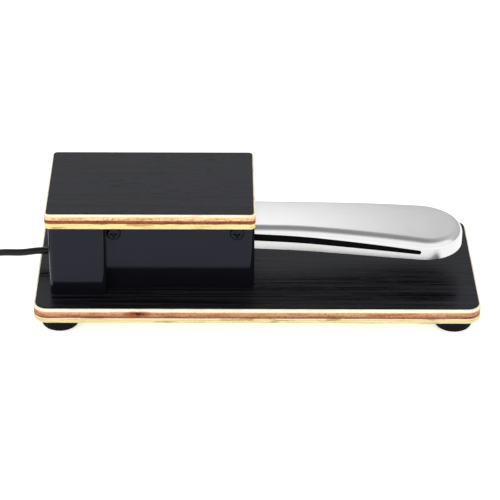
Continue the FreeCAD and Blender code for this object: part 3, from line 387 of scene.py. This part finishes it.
def rounded_plan(half_x, half_y, corner, step=0.001):
    """Points round a rectangle with round corners, and the directions that point out of it there:
    the straight sides are cut every step, and each corner turns through a quarter circle."""
    turns = np.linspace(0.0, math.pi / 2, CORNER_POINTS)
    places, ways = [], []
    for quarter, (sign_x, sign_y) in enumerate(((1, 1), (-1, 1), (-1, -1), (1, -1))):
        angles = turns + quarter * math.pi / 2
        way = np.stack((np.cos(angles), np.sin(angles)), axis=-1)
        middle = np.array((sign_x * (half_x - corner), sign_y * (half_y - corner)))
        places.append(middle + corner * way)
        ways.append(way)
        run = 2 * (half_x - corner) if quarter % 2 == 0 else 2 * (half_y - corner)
        along = np.linspace(0.0, run, max(int(run / step), 2))[1:-1, None]
        ahead = np.array((-way[-1][1], way[-1][0]))
        places.append(places[-1][-1] + along * ahead)
        ways.append(np.repeat(way[-1:], len(along), axis=0))
    places, ways = np.concatenate(places), np.concatenate(ways)
    return np.vstack((places, places[:1])), np.vstack((ways, ways[:1]))


def board_plan(name, corner, step=0.001):
    """A board's lowest and highest level, the middle of its plan, and the plan's rounded outline."""
    low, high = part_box(name)
    centre = np.array(((high.x + low.x) / 2, (high.y + low.y) / 2))
    plan, ways = rounded_plan((high.x - low.x) / 2, (high.y - low.y) / 2, corner, step)
    return low.z, high.z, centre, plan, ways


def slab(centre, plan, ways, section):
    """Rings of a flat piece. Each row of the section is (how far in from the plan, height, share of
    the way out from the centre), and may hold arrays that change along the plan."""
    rings = []
    for inward, height, share in section:
        flat = (plan - np.reshape(inward, (-1, 1)) * ways) * share + centre
        level = np.broadcast_to(np.reshape(height, (-1, 1)), (len(plan), 1))
        rings.append(np.hstack((flat, level)))
    return np.stack(rings)


def ply_edge(plan, bottom, top, pits):
    """The edge's rows from below to above. Each arris is a quarter circle of the ease's radius.
    Between them the face sinks by a sum of narrow bell curves at the glue lines and by slow sine
    waves along the edge. Each pit (x, height, half length, half height, depth) is a bell curve in
    both directions on the near edge."""
    ease = EDGE_EASE
    turns = np.linspace(0.0, math.pi / 2, 6)
    around = np.arctan2(plan[:, 1], plan[:, 0]) * MARKS_PER_RADIAN + plan[:, 0] * MARKS_PER_METRE
    rows = [(ease * (1 - math.sin(turn)), bottom + ease * (1 - math.cos(turn)), 1.0) for turn in turns[:-1]]
    for level in np.linspace(bottom + ease, top - ease, EDGE_ROWS):
        share = (level - bottom) / (top - bottom)
        groove = sum(GLUE_SINK * math.exp(-((share - line) / GLUE_HALF) ** 2) for line in GLUE_LINES)
        hollow = groove + SAW_RIPPLE * sum(np.sin(around * long + share * tall) for long, tall in SAW_WAVES)
        for x, height, length, tallness, depth in pits:
            bell = np.exp(-((plan[:, 0] - x) / length) ** 2 - ((level - height) / tallness) ** 2)
            hollow = hollow + depth * bell * (plan[:, 1] < 0)
        rows.append((hollow, level, 1.0))
    rows += [(ease * (1 - math.cos(turn)), top - ease * (1 - math.sin(turn)), 1.0) for turn in turns[1:]]
    return rows


def add_board(name, corner, pits):
    """Flat below and above, with the plies' edge all round."""
    bottom, top, centre, plan, ways = board_plan(name, corner)
    under = [(EDGE_EASE, bottom, share) for share in (0.0, 0.5)]
    above = [(EDGE_EASE, top, share) for share in (0.5, 0.0)]
    section = under + ply_edge(plan, bottom, top, pits) + above
    return close_up(name + "_wood", [slab(centre, plan, ways, section)])


CLEAR = (1.0, 1.0, 1.0)
FIBRE_TAN = paint(206, 172, 130)
SPECK_TAN = paint(190, 148, 108)
PATCH_TAN = paint(186, 152, 110)
KNOT_RIM = paint(142, 66, 30)
KNOT_HEART = paint(22, 10, 10)
NEAR_EDGE = -0.0475


def plywood(name, bottom, layers, stain=None):
    """Plies as bands of height, with wavy borders, long fibres in the pale ones and short specks in
    the cross plies. The stain is (x, height, half length, half height) of a knot on the near edge."""
    wood = Finish(name, Roughness=0.62, Specular_IOR_Level=0.25)
    place = wood.place()
    height = wood.axis(place, "Z")
    wave = wood.noise(wood.place((14.0, 14.0, 4.0)), 1.0)
    share = (height - bottom) / BOARD_THICK + (wave - 0.5) * 0.07
    bands = wood.ramp(share, [(at, paint(*colour)) for at, colour in layers])
    fibres = wood.noise(wood.place((90.0, 90.0, 1100.0)), 1.0, detail=4.0, roughness=0.6)
    specks = wood.noise(wood.place((620.0, 620.0, 1100.0)), 1.0, detail=2.0, roughness=0.7)
    patches = wood.noise(wood.place((55.0, 55.0, 420.0)), 1.0, detail=3.0, roughness=0.65)
    fibre_tone = wood.blend(fibres.between(0.42, 0.66) * 0.75, CLEAR, FIBRE_TAN)
    speck_tone = wood.blend(specks.between(0.50, 0.66) * 0.80, CLEAR, SPECK_TAN)
    patch_tone = wood.blend(patches.between(0.54, 0.64) * 0.75, CLEAR, PATCH_TAN)
    crossed = share.between(0.30, 0.42) * (1.0 - share.between(0.74, 0.86))
    colour = wood.blend(0.35 + crossed * 0.65, bands, fibre_tone, "MULTIPLY")
    colour = wood.blend(0.15 + crossed * 0.85, colour, speck_tone, "MULTIPLY")
    colour = wood.blend(1.0 - share.between(0.36, 0.84) * 0.75, colour, patch_tone, "MULTIPLY")
    if stain:
        x, level, half_length, half_height = stain
        across = (wood.axis(place, "X") - x) / half_length
        upward = (height - level) / half_height
        away = across * across + upward * upward + (patches - 0.5) * 1.2 + (specks - 0.5) * 1.2
        near = 1.0 - wood.axis(place, "Y").between(NEAR_EDGE, NEAR_EDGE + 0.0005)
        colour = wood.blend((1.0 - away.between(0.30, 1.3)) * near * 0.85, colour, KNOT_RIM)
        colour = wood.blend((1.0 - away.between(0.02, 0.22)) * near, colour, KNOT_HEART)
    relief = fibres * 0.5 + specks * 0.5
    return wood.finish(Base_Color=colour, Roughness=0.55 + specks * 0.2, Normal=wood.bump(relief, 0.00006))


# Each ply's colour, from the under side at 0 to the upper side at 1. In both tables the last, near-white
# stops are the pale face ply with a painted highlight along the upper eased arris.
BASE_LAYERS = (
    (0.0, (214, 202, 146)), (0.21, (228, 214, 156)), (0.25, (194, 168, 120)), (0.29, (238, 216, 184)),
    (0.36, (234, 206, 172)), (0.40, (134, 86, 57)), (0.47, (144, 94, 64)), (0.54, (180, 132, 100)),
    (0.68, (194, 148, 116)), (0.79, (204, 162, 128)), (0.84, (246, 232, 196)), (1.0, (255, 250, 232)))
TOP_LAYERS = (
    (0.0, (236, 216, 150)), (0.36, (240, 220, 154)), (0.39, (206, 138, 80)), (0.42, (98, 46, 24)),
    (0.49, (150, 98, 66)), (0.56, (92, 42, 22)), (0.61, (206, 134, 82)), (0.65, (236, 206, 160)),
    (0.87, (236, 206, 160)), (0.92, (255, 244, 214)), (1.0, (255, 250, 232)))
base_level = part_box("base_board")[0].z
top_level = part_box("top_board")[0].z
KNOT_X = -0.0690
knot_level = base_level + 0.0060
base_pits = (
    (KNOT_X, knot_level, 0.0014, 0.0007, 0.0005),
    (-0.1010, base_level + 0.0028, 0.0006, 0.0003, 0.0002),
    (-0.1235, base_level + 0.0020, 0.0008, 0.0005, 0.0003),
    (0.0420, base_level + 0.0030, 0.0020, 0.0002, 0.0002))
top_pits = (
    (-0.0460, top_level + 0.0072, 0.0012, 0.0004, 0.0002),
    (-0.0085, top_level + 0.0015, 0.0030, 0.0002, 0.0002))
base_plywood = plywood("base_plywood", base_level, BASE_LAYERS, (KNOT_X + 0.002, knot_level, 0.0090, 0.0021))
top_plywood = plywood("top_plywood", top_level, TOP_LAYERS)
fit(add_board("base_board", 0.008, base_pits), "base", "plywood", base_plywood, "base_board")
fit(add_board("top_board", 0.003, top_pits), "base", "plywood", top_plywood, "top_board")


# --- Laminate ---------------------------------------------------------------------------
# Both boards are faced with a black melamine sheet half a millimetre thick, pressed with
# an oak grain that runs along the pedal, and trimmed a millimetre inside the wood's edge.

SHEET_BEVEL = 0.00015
COOL = (0.70, 0.75, 1.0, 1.0)


def add_laminate(name, corner):
    """A flat sheet: its rim rises straight up and is then cut back at forty-five degrees."""
    bottom, top, centre, plan, ways = board_plan(name, corner, 0.004)
    rim, inside = SHEET_BEVEL, 2 * SHEET_BEVEL
    section = [(0.0, bottom, 0.0), (0.0, bottom, 0.6), (0.0, bottom, 1.0), (0.0, top - rim, 1.0),
               (rim, top, 1.0), (inside, top, 1.0), (inside, top, 0.6), (inside, top, 0.0)]
    return close_up(name + "_sheet", [slab(centre, plan, ways, section)], 20.0)


def oak_print():
    """Grain lines are noise drawn out along X; open pores are short dashes of a finer noise, kept
    where a slow noise is high. Both are pressed into the sheet."""
    sheet = Finish("black_oak_laminate", Specular_IOR_Level=0.10, Specular_Tint=COOL)
    lines = sheet.noise(sheet.place((9.0, 700.0, 700.0)), 1.0, detail=4.0, roughness=0.65, warp=0.3)
    fine = sheet.noise(sheet.place((30.0, 2200.0, 2200.0)), 1.0, detail=2.0, roughness=0.6)
    pores = sheet.noise(sheet.place((95.0, 1500.0, 1500.0)), 1.0, detail=1.0)
    spread = sheet.noise(sheet.place((10.0, 30.0, 30.0)), 1.0, detail=2.0)
    dashes = pores.between(0.62, 0.70) * spread.between(0.42, 0.62)
    streaks = lines.between(0.38, 0.62)
    colour = sheet.blend(streaks, (0.0014, 0.0015, 0.0021), (0.0165, 0.0168, 0.0205))
    colour = sheet.blend(dashes * 0.85, colour, (0.0010, 0.0010, 0.0012))
    relief = lines * 0.6 + fine * 0.25 - dashes * 0.7
    return sheet.finish(Base_Color=colour, Roughness=0.20 + streaks * 0.18,
                        Normal=sheet.bump(relief, 0.00008))


oak_laminate = oak_print()
fit(add_laminate("base_laminate", 0.007), "base", "black_laminate", oak_laminate, "base_laminate")
fit(add_laminate("top_laminate", 0.002), "base", "black_laminate", oak_laminate, "top_laminate")


# --- Housing ----------------------------------------------------------------------------
# An injection-moulded black ABS cover, glossy enough to mirror the deck low on its walls,
# with a fine spark-eroded grain, held to the steel frame by four black pan-head screws.


def dress(material, *nodes):
    """A CAD node keeps its shape and wears the material."""
    for node in nodes:
        mesh = NODES[node].data
        mesh.materials.clear()
        mesh.materials.append(material)


def moulded(name, dark, light, roughness, gloss=0.5, grain_size=1800.0, depth=0.000012):
    """Moulded plastic: an even colour with faint flow marks and a fine pressed grain."""
    plastic = Finish(name, Specular_IOR_Level=gloss, Specular_Tint=COOL)
    flow = plastic.noise(plastic.place((25.0, 25.0, 60.0)), 1.0, warp=0.6)
    grain = plastic.noise(plastic.place(), grain_size, detail=2.0, roughness=0.6)
    return plastic.finish(Base_Color=plastic.blend(flow, dark, light),
                          Roughness=roughness + flow * 0.06 + grain * 0.03,
                          Normal=plastic.bump(grain, depth))


dress(moulded("housing_abs", (0.0032, 0.0033, 0.0046), (0.0050, 0.0051, 0.0068), 0.05, gloss=0.26),
      "housing")
dress(moulded("inner_nylon_black", (0.006, 0.006, 0.007), (0.011, 0.011, 0.012), 0.38, gloss=0.14),
      "clamp_base", "clamp_cap", "switch_body")
dress(moulded("core_abs", (0.0014, 0.0014, 0.0016), (0.0030, 0.0030, 0.0034), 0.45, gloss=0.04),
      "pedal_core")


# --- Screws and steel -------------------------------------------------------------------
# The frame, its stop bar and the lever are pressed from zinc-plated steel; the screws are
# zinc plated too, apart from the housing's four, which are black.

PLATING_RELIEF = 0.00001


def plated(name, dark, light, roughness, brush=(300.0, 2400.0, 2400.0)):
    """Metal with rolling marks along one direction and cloudy plating."""
    metal = Finish(name, Metallic=1.0)
    cloud = metal.noise(metal.place(), 260.0, roughness=0.6)
    marks = metal.noise(metal.place(brush), 1.0, detail=2.0)
    return metal.finish(Base_Color=metal.blend(cloud, dark, light),
                        Roughness=roughness + cloud * 0.10 + marks * 0.06,
                        Normal=metal.bump(marks, PLATING_RELIEF))


def blacked():
    """Steel under black enamel: dark and smooth, with slightly brighter worn spots."""
    steel = Finish("black_enamel", Specular_IOR_Level=0.22, Specular_Tint=COOL)
    wear = steel.noise(steel.place(), 1500.0, roughness=0.6)
    colour = steel.blend(wear.between(0.5, 0.8), (0.0025, 0.0025, 0.0032), (0.0060, 0.0060, 0.0072))
    return steel.finish(Base_Color=colour, Roughness=0.10 + wear * 0.10,
                        Normal=steel.bump(wear, PLATING_RELIEF))


dress(blacked(), "housing_screws")
dress(plated("zinc_plate", (0.50, 0.51, 0.52), (0.66, 0.67, 0.69), 0.26),
      "chassis", "stop_bar", "lever_bar", "pivot_tube", "switch_bracket")
dress(plated("zinc_screws", (0.54, 0.54, 0.53), (0.72, 0.72, 0.71), 0.20, (1800.0, 1800.0, 1800.0)),
      "foot_screws", "chassis_screws", "top_board_screws", "bumper_screw", "pedal_screws", "switch_screws",
      "switch_nuts", "bracket_screws", "clamp_screws", "spring_spigot")
dress(plated("ground_steel", (0.48, 0.48, 0.49), (0.60, 0.60, 0.61), 0.16, (2600.0, 120.0, 2600.0)),
      "pivot_pin", "pivot_clips")
dress(plated("stamped_brass", (0.62, 0.44, 0.16), (0.78, 0.58, 0.26), 0.24), "switch_terminals")


# --- Return spring ----------------------------------------------------------------------
# A compression spring of 1.4 mm music wire, cold coiled to 14 mm, with closed ends. It
# stands between the nylon seat and the lever, and shortens as the pedal goes down.

SPRING_WIRE = 0.0014
SPRING_TURNS = 7.6
CLOSED_TURNS = 1.1
CUTS_PER_TURN = 40
CUTS_ROUND_WIRE = 17


def spring_wire(centre, bottom, top, mean, wire, turns):
    """A round wire on a helix. Its angle grows evenly. Its height rises by half a wire over each closed
    end and evenly between them, and the wire's own circle lies in the plane of the radius and up."""
    along = np.linspace(0.0, 1.0, int(turns * CUTS_PER_TURN))
    angle = along * turns * 2 * math.pi
    closed = CLOSED_TURNS / turns
    share = np.clip((along - closed) / (1 - 2 * closed), 0.0, 1.0)
    ends = np.minimum(along / closed, 1.0) - np.minimum((1 - along) / closed, 1.0) + 1
    height = bottom + wire * ends / 2 + (top - bottom - wire) * share
    around = np.linspace(0.0, 2 * math.pi, CUTS_ROUND_WIRE)
    thick = np.full(len(along), wire / 2)
    thick[[0, -1]] = 0.0
    radius = mean + thick[:, None] * np.cos(around)
    return np.stack((centre[0] + radius * np.cos(angle)[:, None],
                     centre[1] + radius * np.sin(angle)[:, None],
                     height[:, None] + thick[:, None] * np.sin(around)), axis=-1)


low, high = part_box("return_spring")
spring_middle = ((low.x + high.x) / 2, (low.y + high.y) / 2)
spring_mean = (high.x - low.x - SPRING_WIRE) / 2
spring_grid = spring_wire(spring_middle, low.z + SPRING_WIRE / 2, high.z - SPRING_WIRE / 2,
                          spring_mean, SPRING_WIRE, SPRING_TURNS)
music_wire = plated("music_wire", (0.34, 0.34, 0.35), (0.50, 0.50, 0.52), 0.22, (900.0, 900.0, 2600.0))
spring = close_up("spring_coil", [spring_grid])
fit(spring, "base", "zinc_steel", music_wire, "return_spring")
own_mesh(spring)


# --- Pedal ------------------------------------------------------------------------------
# The foot plate is drawn from 1.2 mm steel, polished and chrome plated, with a long slot
# down each side that shows the black plastic core it is clipped over.

def chromed():
    """Bright chrome: nearly even, with faint polishing marks and a little haze."""
    chrome = Finish("pedal_chrome", Metallic=1.0)
    haze = chrome.noise(chrome.place(), 90.0)
    marks = chrome.noise(chrome.place((160.0, 3000.0, 3000.0)), 1.0, detail=2.0)
    return chrome.finish(Base_Color=chrome.blend(haze, (0.62, 0.62, 0.62), (0.67, 0.67, 0.67)),
                         Roughness=0.15 + haze * 0.05 + marks * 0.02,
                         Normal=chrome.bump(marks, 0.000002))


dress(chromed(), "pedal_cover")


# --- Rubber, felt and nylon -------------------------------------------------------------
# Moulded black rubber feet, bumper and grommet; a pressed felt pad under the stop bar; and
# natural nylon washers, spring seat and switch button.

def rubbery():
    """Matt rubber: dull black with dust-grey bloom and a fine pebble."""
    rubber = Finish("black_rubber", Specular_IOR_Level=0.07)
    bloom = rubber.noise(rubber.place(), 220.0, detail=4.0, roughness=0.6)
    pebble = rubber.noise(rubber.place(), 2600.0, detail=2.0, roughness=0.6)
    return rubber.finish(Base_Color=rubber.blend(bloom, (0.0022, 0.0022, 0.0026), (0.0055, 0.0055, 0.0060)),
                         Roughness=0.58 + bloom * 0.2,
                         Normal=rubber.bump(pebble, 0.00003))


def felted():
    """Pressed felt: dark red fibres that cross at all angles."""
    felt = Finish("red_felt", Roughness=0.95, Specular_IOR_Level=0.1)
    fibres = felt.noise(felt.place(), 2400.0, detail=5.0, roughness=0.8, warp=1.5)
    return felt.finish(Base_Color=felt.blend(fibres, (0.10, 0.010, 0.010), (0.24, 0.030, 0.028)),
                       Normal=felt.bump(fibres, 0.0001))


FLUTE_FADE = 0.0015
GROMMET_GROOVE = 0.00035
QUARTER_TURN = 1.57


def lathe(start, along, outline, flutes=0, depth=0.0, span=(0.0, 0.0), columns=73):
    """A turned form. Each row of the outline is (distance along the axis, radius). Inside the span the
    radius also dips by a raised cosine of the angle, as often round as there are flutes."""
    start, along = np.array(start), np.array(along)
    across = np.cross(along, (0.0, 0.0, 1.0))
    angle = np.linspace(0.0, 2 * math.pi, columns)
    distance, radius = np.array(outline).T
    inside = np.clip(np.minimum(distance - span[0], span[1] - distance) / FLUTE_FADE, 0.0, 1.0)
    dip = depth * inside[:, None] * (0.5 - 0.5 * np.cos(angle * flutes))
    reach = (radius[:, None] - np.minimum(dip, radius[:, None]))[..., None]
    ring = np.cos(angle)[:, None] * across + np.sin(angle)[:, None] * np.array((0.0, 0.0, 1.0))
    return start + distance[:, None, None] * along + reach * ring


def grommet_outline(nose, lip, wall, neck, flange, tip, bore):
    """From the nose's bore outwards: the nose swells as a sine and sinks into round grooves where a
    cosine of its length is above zero; each flange has a half-circle rim; the neck between them
    fills the wall's hole."""
    share = np.linspace(0.0, 1.0, 30)
    rings = np.clip(np.cos(share * 6 * math.pi), 0.0, 1.0) * (share > 0.1) * (share < 0.95)
    swell = tip + (neck - tip) * np.sin(share * QUARTER_TURN) - GROMMET_GROOVE * rings
    rows = [(-nose, bore)] + list(zip(-nose + share * (nose - lip), swell))
    rim = np.linspace(-math.pi / 2, math.pi / 2, 9)
    for first in (-lip, wall):
        rows += [(first + lip / 2 * (1 + math.sin(turn)), flange - lip / 2 * (1 - math.cos(turn)))
                 for turn in rim]
        rows.append((first + lip, neck if first < 0 else bore))
    return rows + [(-nose, bore)]


rubber = rubbery()
dress(rubber, "foot_front_left", "foot_front_right", "foot_back_left", "foot_back_right", "down_stop_bumper")
low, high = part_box("cable_grommet")
grommet_place = (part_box("housing")[0].x, (low.y + high.y) / 2, (low.z + high.z) / 2)
grommet_rows = grommet_outline(*millimetres(3.5, 1.0, 2.5, 4.0, 5.4, 2.8, 2.0))
grommet = close_up("grommet_rubber", [lathe(grommet_place, (1.0, 0.0, 0.0), grommet_rows)])
fit(grommet, "base", "black_rubber", rubber, "cable_grommet")
dress(felted(), "up_stop_pad")
dress(moulded("natural_nylon", (0.58, 0.56, 0.49), (0.70, 0.68, 0.60), 0.40),
      "spring_seat", "pivot_washers", "switch_plunger")


# --- Cable's inner end ------------------------------------------------------------------
# Inside, the jacket is stripped in the clamp and two thin tinned leads with red PVC run to
# the micro-switch.

dress(jacket.material, "cable_inside")
dress(moulded("lead_pvc", (0.30, 0.018, 0.014), (0.42, 0.030, 0.022), 0.32), "switch_leads")


# --- Plug -------------------------------------------------------------------------------
# A quarter-inch phone plug with a nickel-plated barrel and tip. Its grip is soft PVC
# moulded over the solder joints, fluted for the fingers, with a ringed bending relief.

GRIP_ROUND = 0.001
GRIP_GROOVE = 0.0006


def grip_outline(boot, flare, length, entry, neck, body, rings):
    """The relief widens evenly and has square-shouldered grooves that are a power of a sine; a smooth
    step widens it to the body; the body's end is a quarter circle."""
    share = np.linspace(0.0, 1.0, 90)
    grooves = GRIP_GROOVE * np.abs(np.sin(share * rings * math.pi)) ** 6 * (share > 0.08)
    rows = [(0.0, 0.0)] + list(zip(share * boot, entry + (neck - entry) * share - grooves))
    share = np.linspace(0.0, 1.0, 10)[1:]
    rows += list(zip(boot + share * flare, neck + (body - neck) * share * share * (3 - 2 * share)))
    end = length - GRIP_ROUND
    rows += [(distance, body) for distance in np.linspace(boot + flare, end, 40)[1:]]
    turns = np.linspace(0.0, math.pi / 2, 7)[1:]
    rows += [(end + GRIP_ROUND * math.sin(turn), body - GRIP_ROUND * (1 - math.cos(turn))) for turn in turns]
    return rows + [(length, 0.0)]


plug_plastic = moulded("plug_pvc", (0.007, 0.007, 0.0075), (0.013, 0.013, 0.014), 0.40,
                       gloss=0.4, grain_size=1200.0, depth=0.00003)
low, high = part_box("plug_grip")
grip_place = ((low.x + high.x) / 2, high.y, (low.z + high.z) / 2)
grip_rows = grip_outline(*millimetres(11.0, 2.5, 36.0, 2.9, 4.3, 5.5), 7)
grip_grid = lathe(grip_place, (0.0, -1.0, 0.0), grip_rows,
                  flutes=20, depth=0.0004, span=(0.0155, 0.0335), columns=161)
grip = close_up("plug_grip_pvc", [grip_grid])
fit(grip, "base", "plug_plastic", plug_plastic, "plug_grip")
dress(plug_plastic, "plug_insulator")
dress(plated("plug_nickel", (0.62, 0.60, 0.56), (0.74, 0.72, 0.68), 0.12, (2600.0, 300.0, 2600.0)),
      "plug_sleeve", "plug_tip")


# --- Coil tie ---------------------------------------------------------------------------
# A woven nylon hook-and-loop strap, 8 mm wide, round the coil's turns. Its end lies over
# itself on top.

TIE_ANGLE = math.radians(292.0)
TIE_WIDE, TIE_THICK = millimetres(8.0, 0.6)
TIE_SQUARENESS = 0.35
RIB_HEIGHT = 0.12
RIB_STEP = 1.57


def squared(wave):
    """A sine or cosine with its shoulders pushed out, so that a ring becomes a flat band."""
    return np.sign(wave) * np.abs(wave) ** TIE_SQUARENESS


def strap_band(route, wide, thick):
    """A flat band along a route of (radius, height) points. Its section is a flattened ring, and its
    face rises and falls by a small sine along the route, as the weave's ribs do."""
    ahead = np.gradient(route, axis=0)
    ahead /= np.linalg.norm(ahead, axis=1)[:, None]
    outward = np.stack((ahead[:, 1], -ahead[:, 0]), axis=-1)
    around = np.linspace(0.0, 2 * math.pi, 41)
    side = squared(np.cos(around)) * wide / 2
    level = squared(np.sin(around)) * thick / 2
    rib = 1 + RIB_HEIGHT * np.sin(np.arange(len(route)) * RIB_STEP)[:, None]
    flat = route[:, None, :] + outward[:, None, :] * (level * rib)[..., None]
    return flat, np.broadcast_to(side, flat.shape[:2])


def around_coil(flat, side, at):
    """Turns the band's flat points to the place on the coil at that angle."""
    out = np.array((math.cos(at), math.sin(at)))
    plan = flat[..., :1] * out + side[..., None] * np.array((-out[1], out[0])) + np.array(COIL_MIDDLE)
    return np.concatenate((plan, flat[..., 1:]), axis=-1)


def strap_route(inner, outer, bottom, top, corner):
    """A rectangle with round corners, from the middle of its upper side all the way round."""
    plan, _ = rounded_plan((outer - inner) / 2, (top - bottom) / 2, corner, 0.0004)
    plan = plan + np.array(((outer + inner) / 2, (top + bottom) / 2))
    first = int(np.argmin(np.abs(plan[:, 0] - (outer + inner) / 2) - plan[:, 1]))
    return np.vstack((plan[first:-1], plan[:first + 1]))


# The strap's loose end lies inwards over the loop, and its tip lifts by a cube of its length.
tie_loop = strap_route(*millimetres(16.0, 30.1, 0.3, 17.0, 2.3))
along = np.linspace(0.0, 1.0, 26)
tie_end = np.stack((0.0275 - 0.0095 * along, 0.0176 + 0.0006 * along ** 3), axis=-1)
tie_grids = [around_coil(*strap_band(route, TIE_WIDE, TIE_THICK), TIE_ANGLE) for route in (tie_loop, tie_end)]
tie = close_up("tie_strap", tie_grids)
woven = Finish("strap_weave", Roughness=0.85, Specular_IOR_Level=0.2)
threads = woven.noise(woven.place((1400.0, 1400.0, 1400.0)), 1.0, detail=2.0, roughness=0.7)
fuzz = woven.noise(woven.place(), 300.0, detail=4.0, roughness=0.7)
weave = woven.finish(Base_Color=woven.blend(fuzz, (0.006, 0.006, 0.006), (0.022, 0.022, 0.023)),
                     Normal=woven.bump(threads, 0.00012))
fit(tie, "base", "tie_strap", weave, "coil_tie")
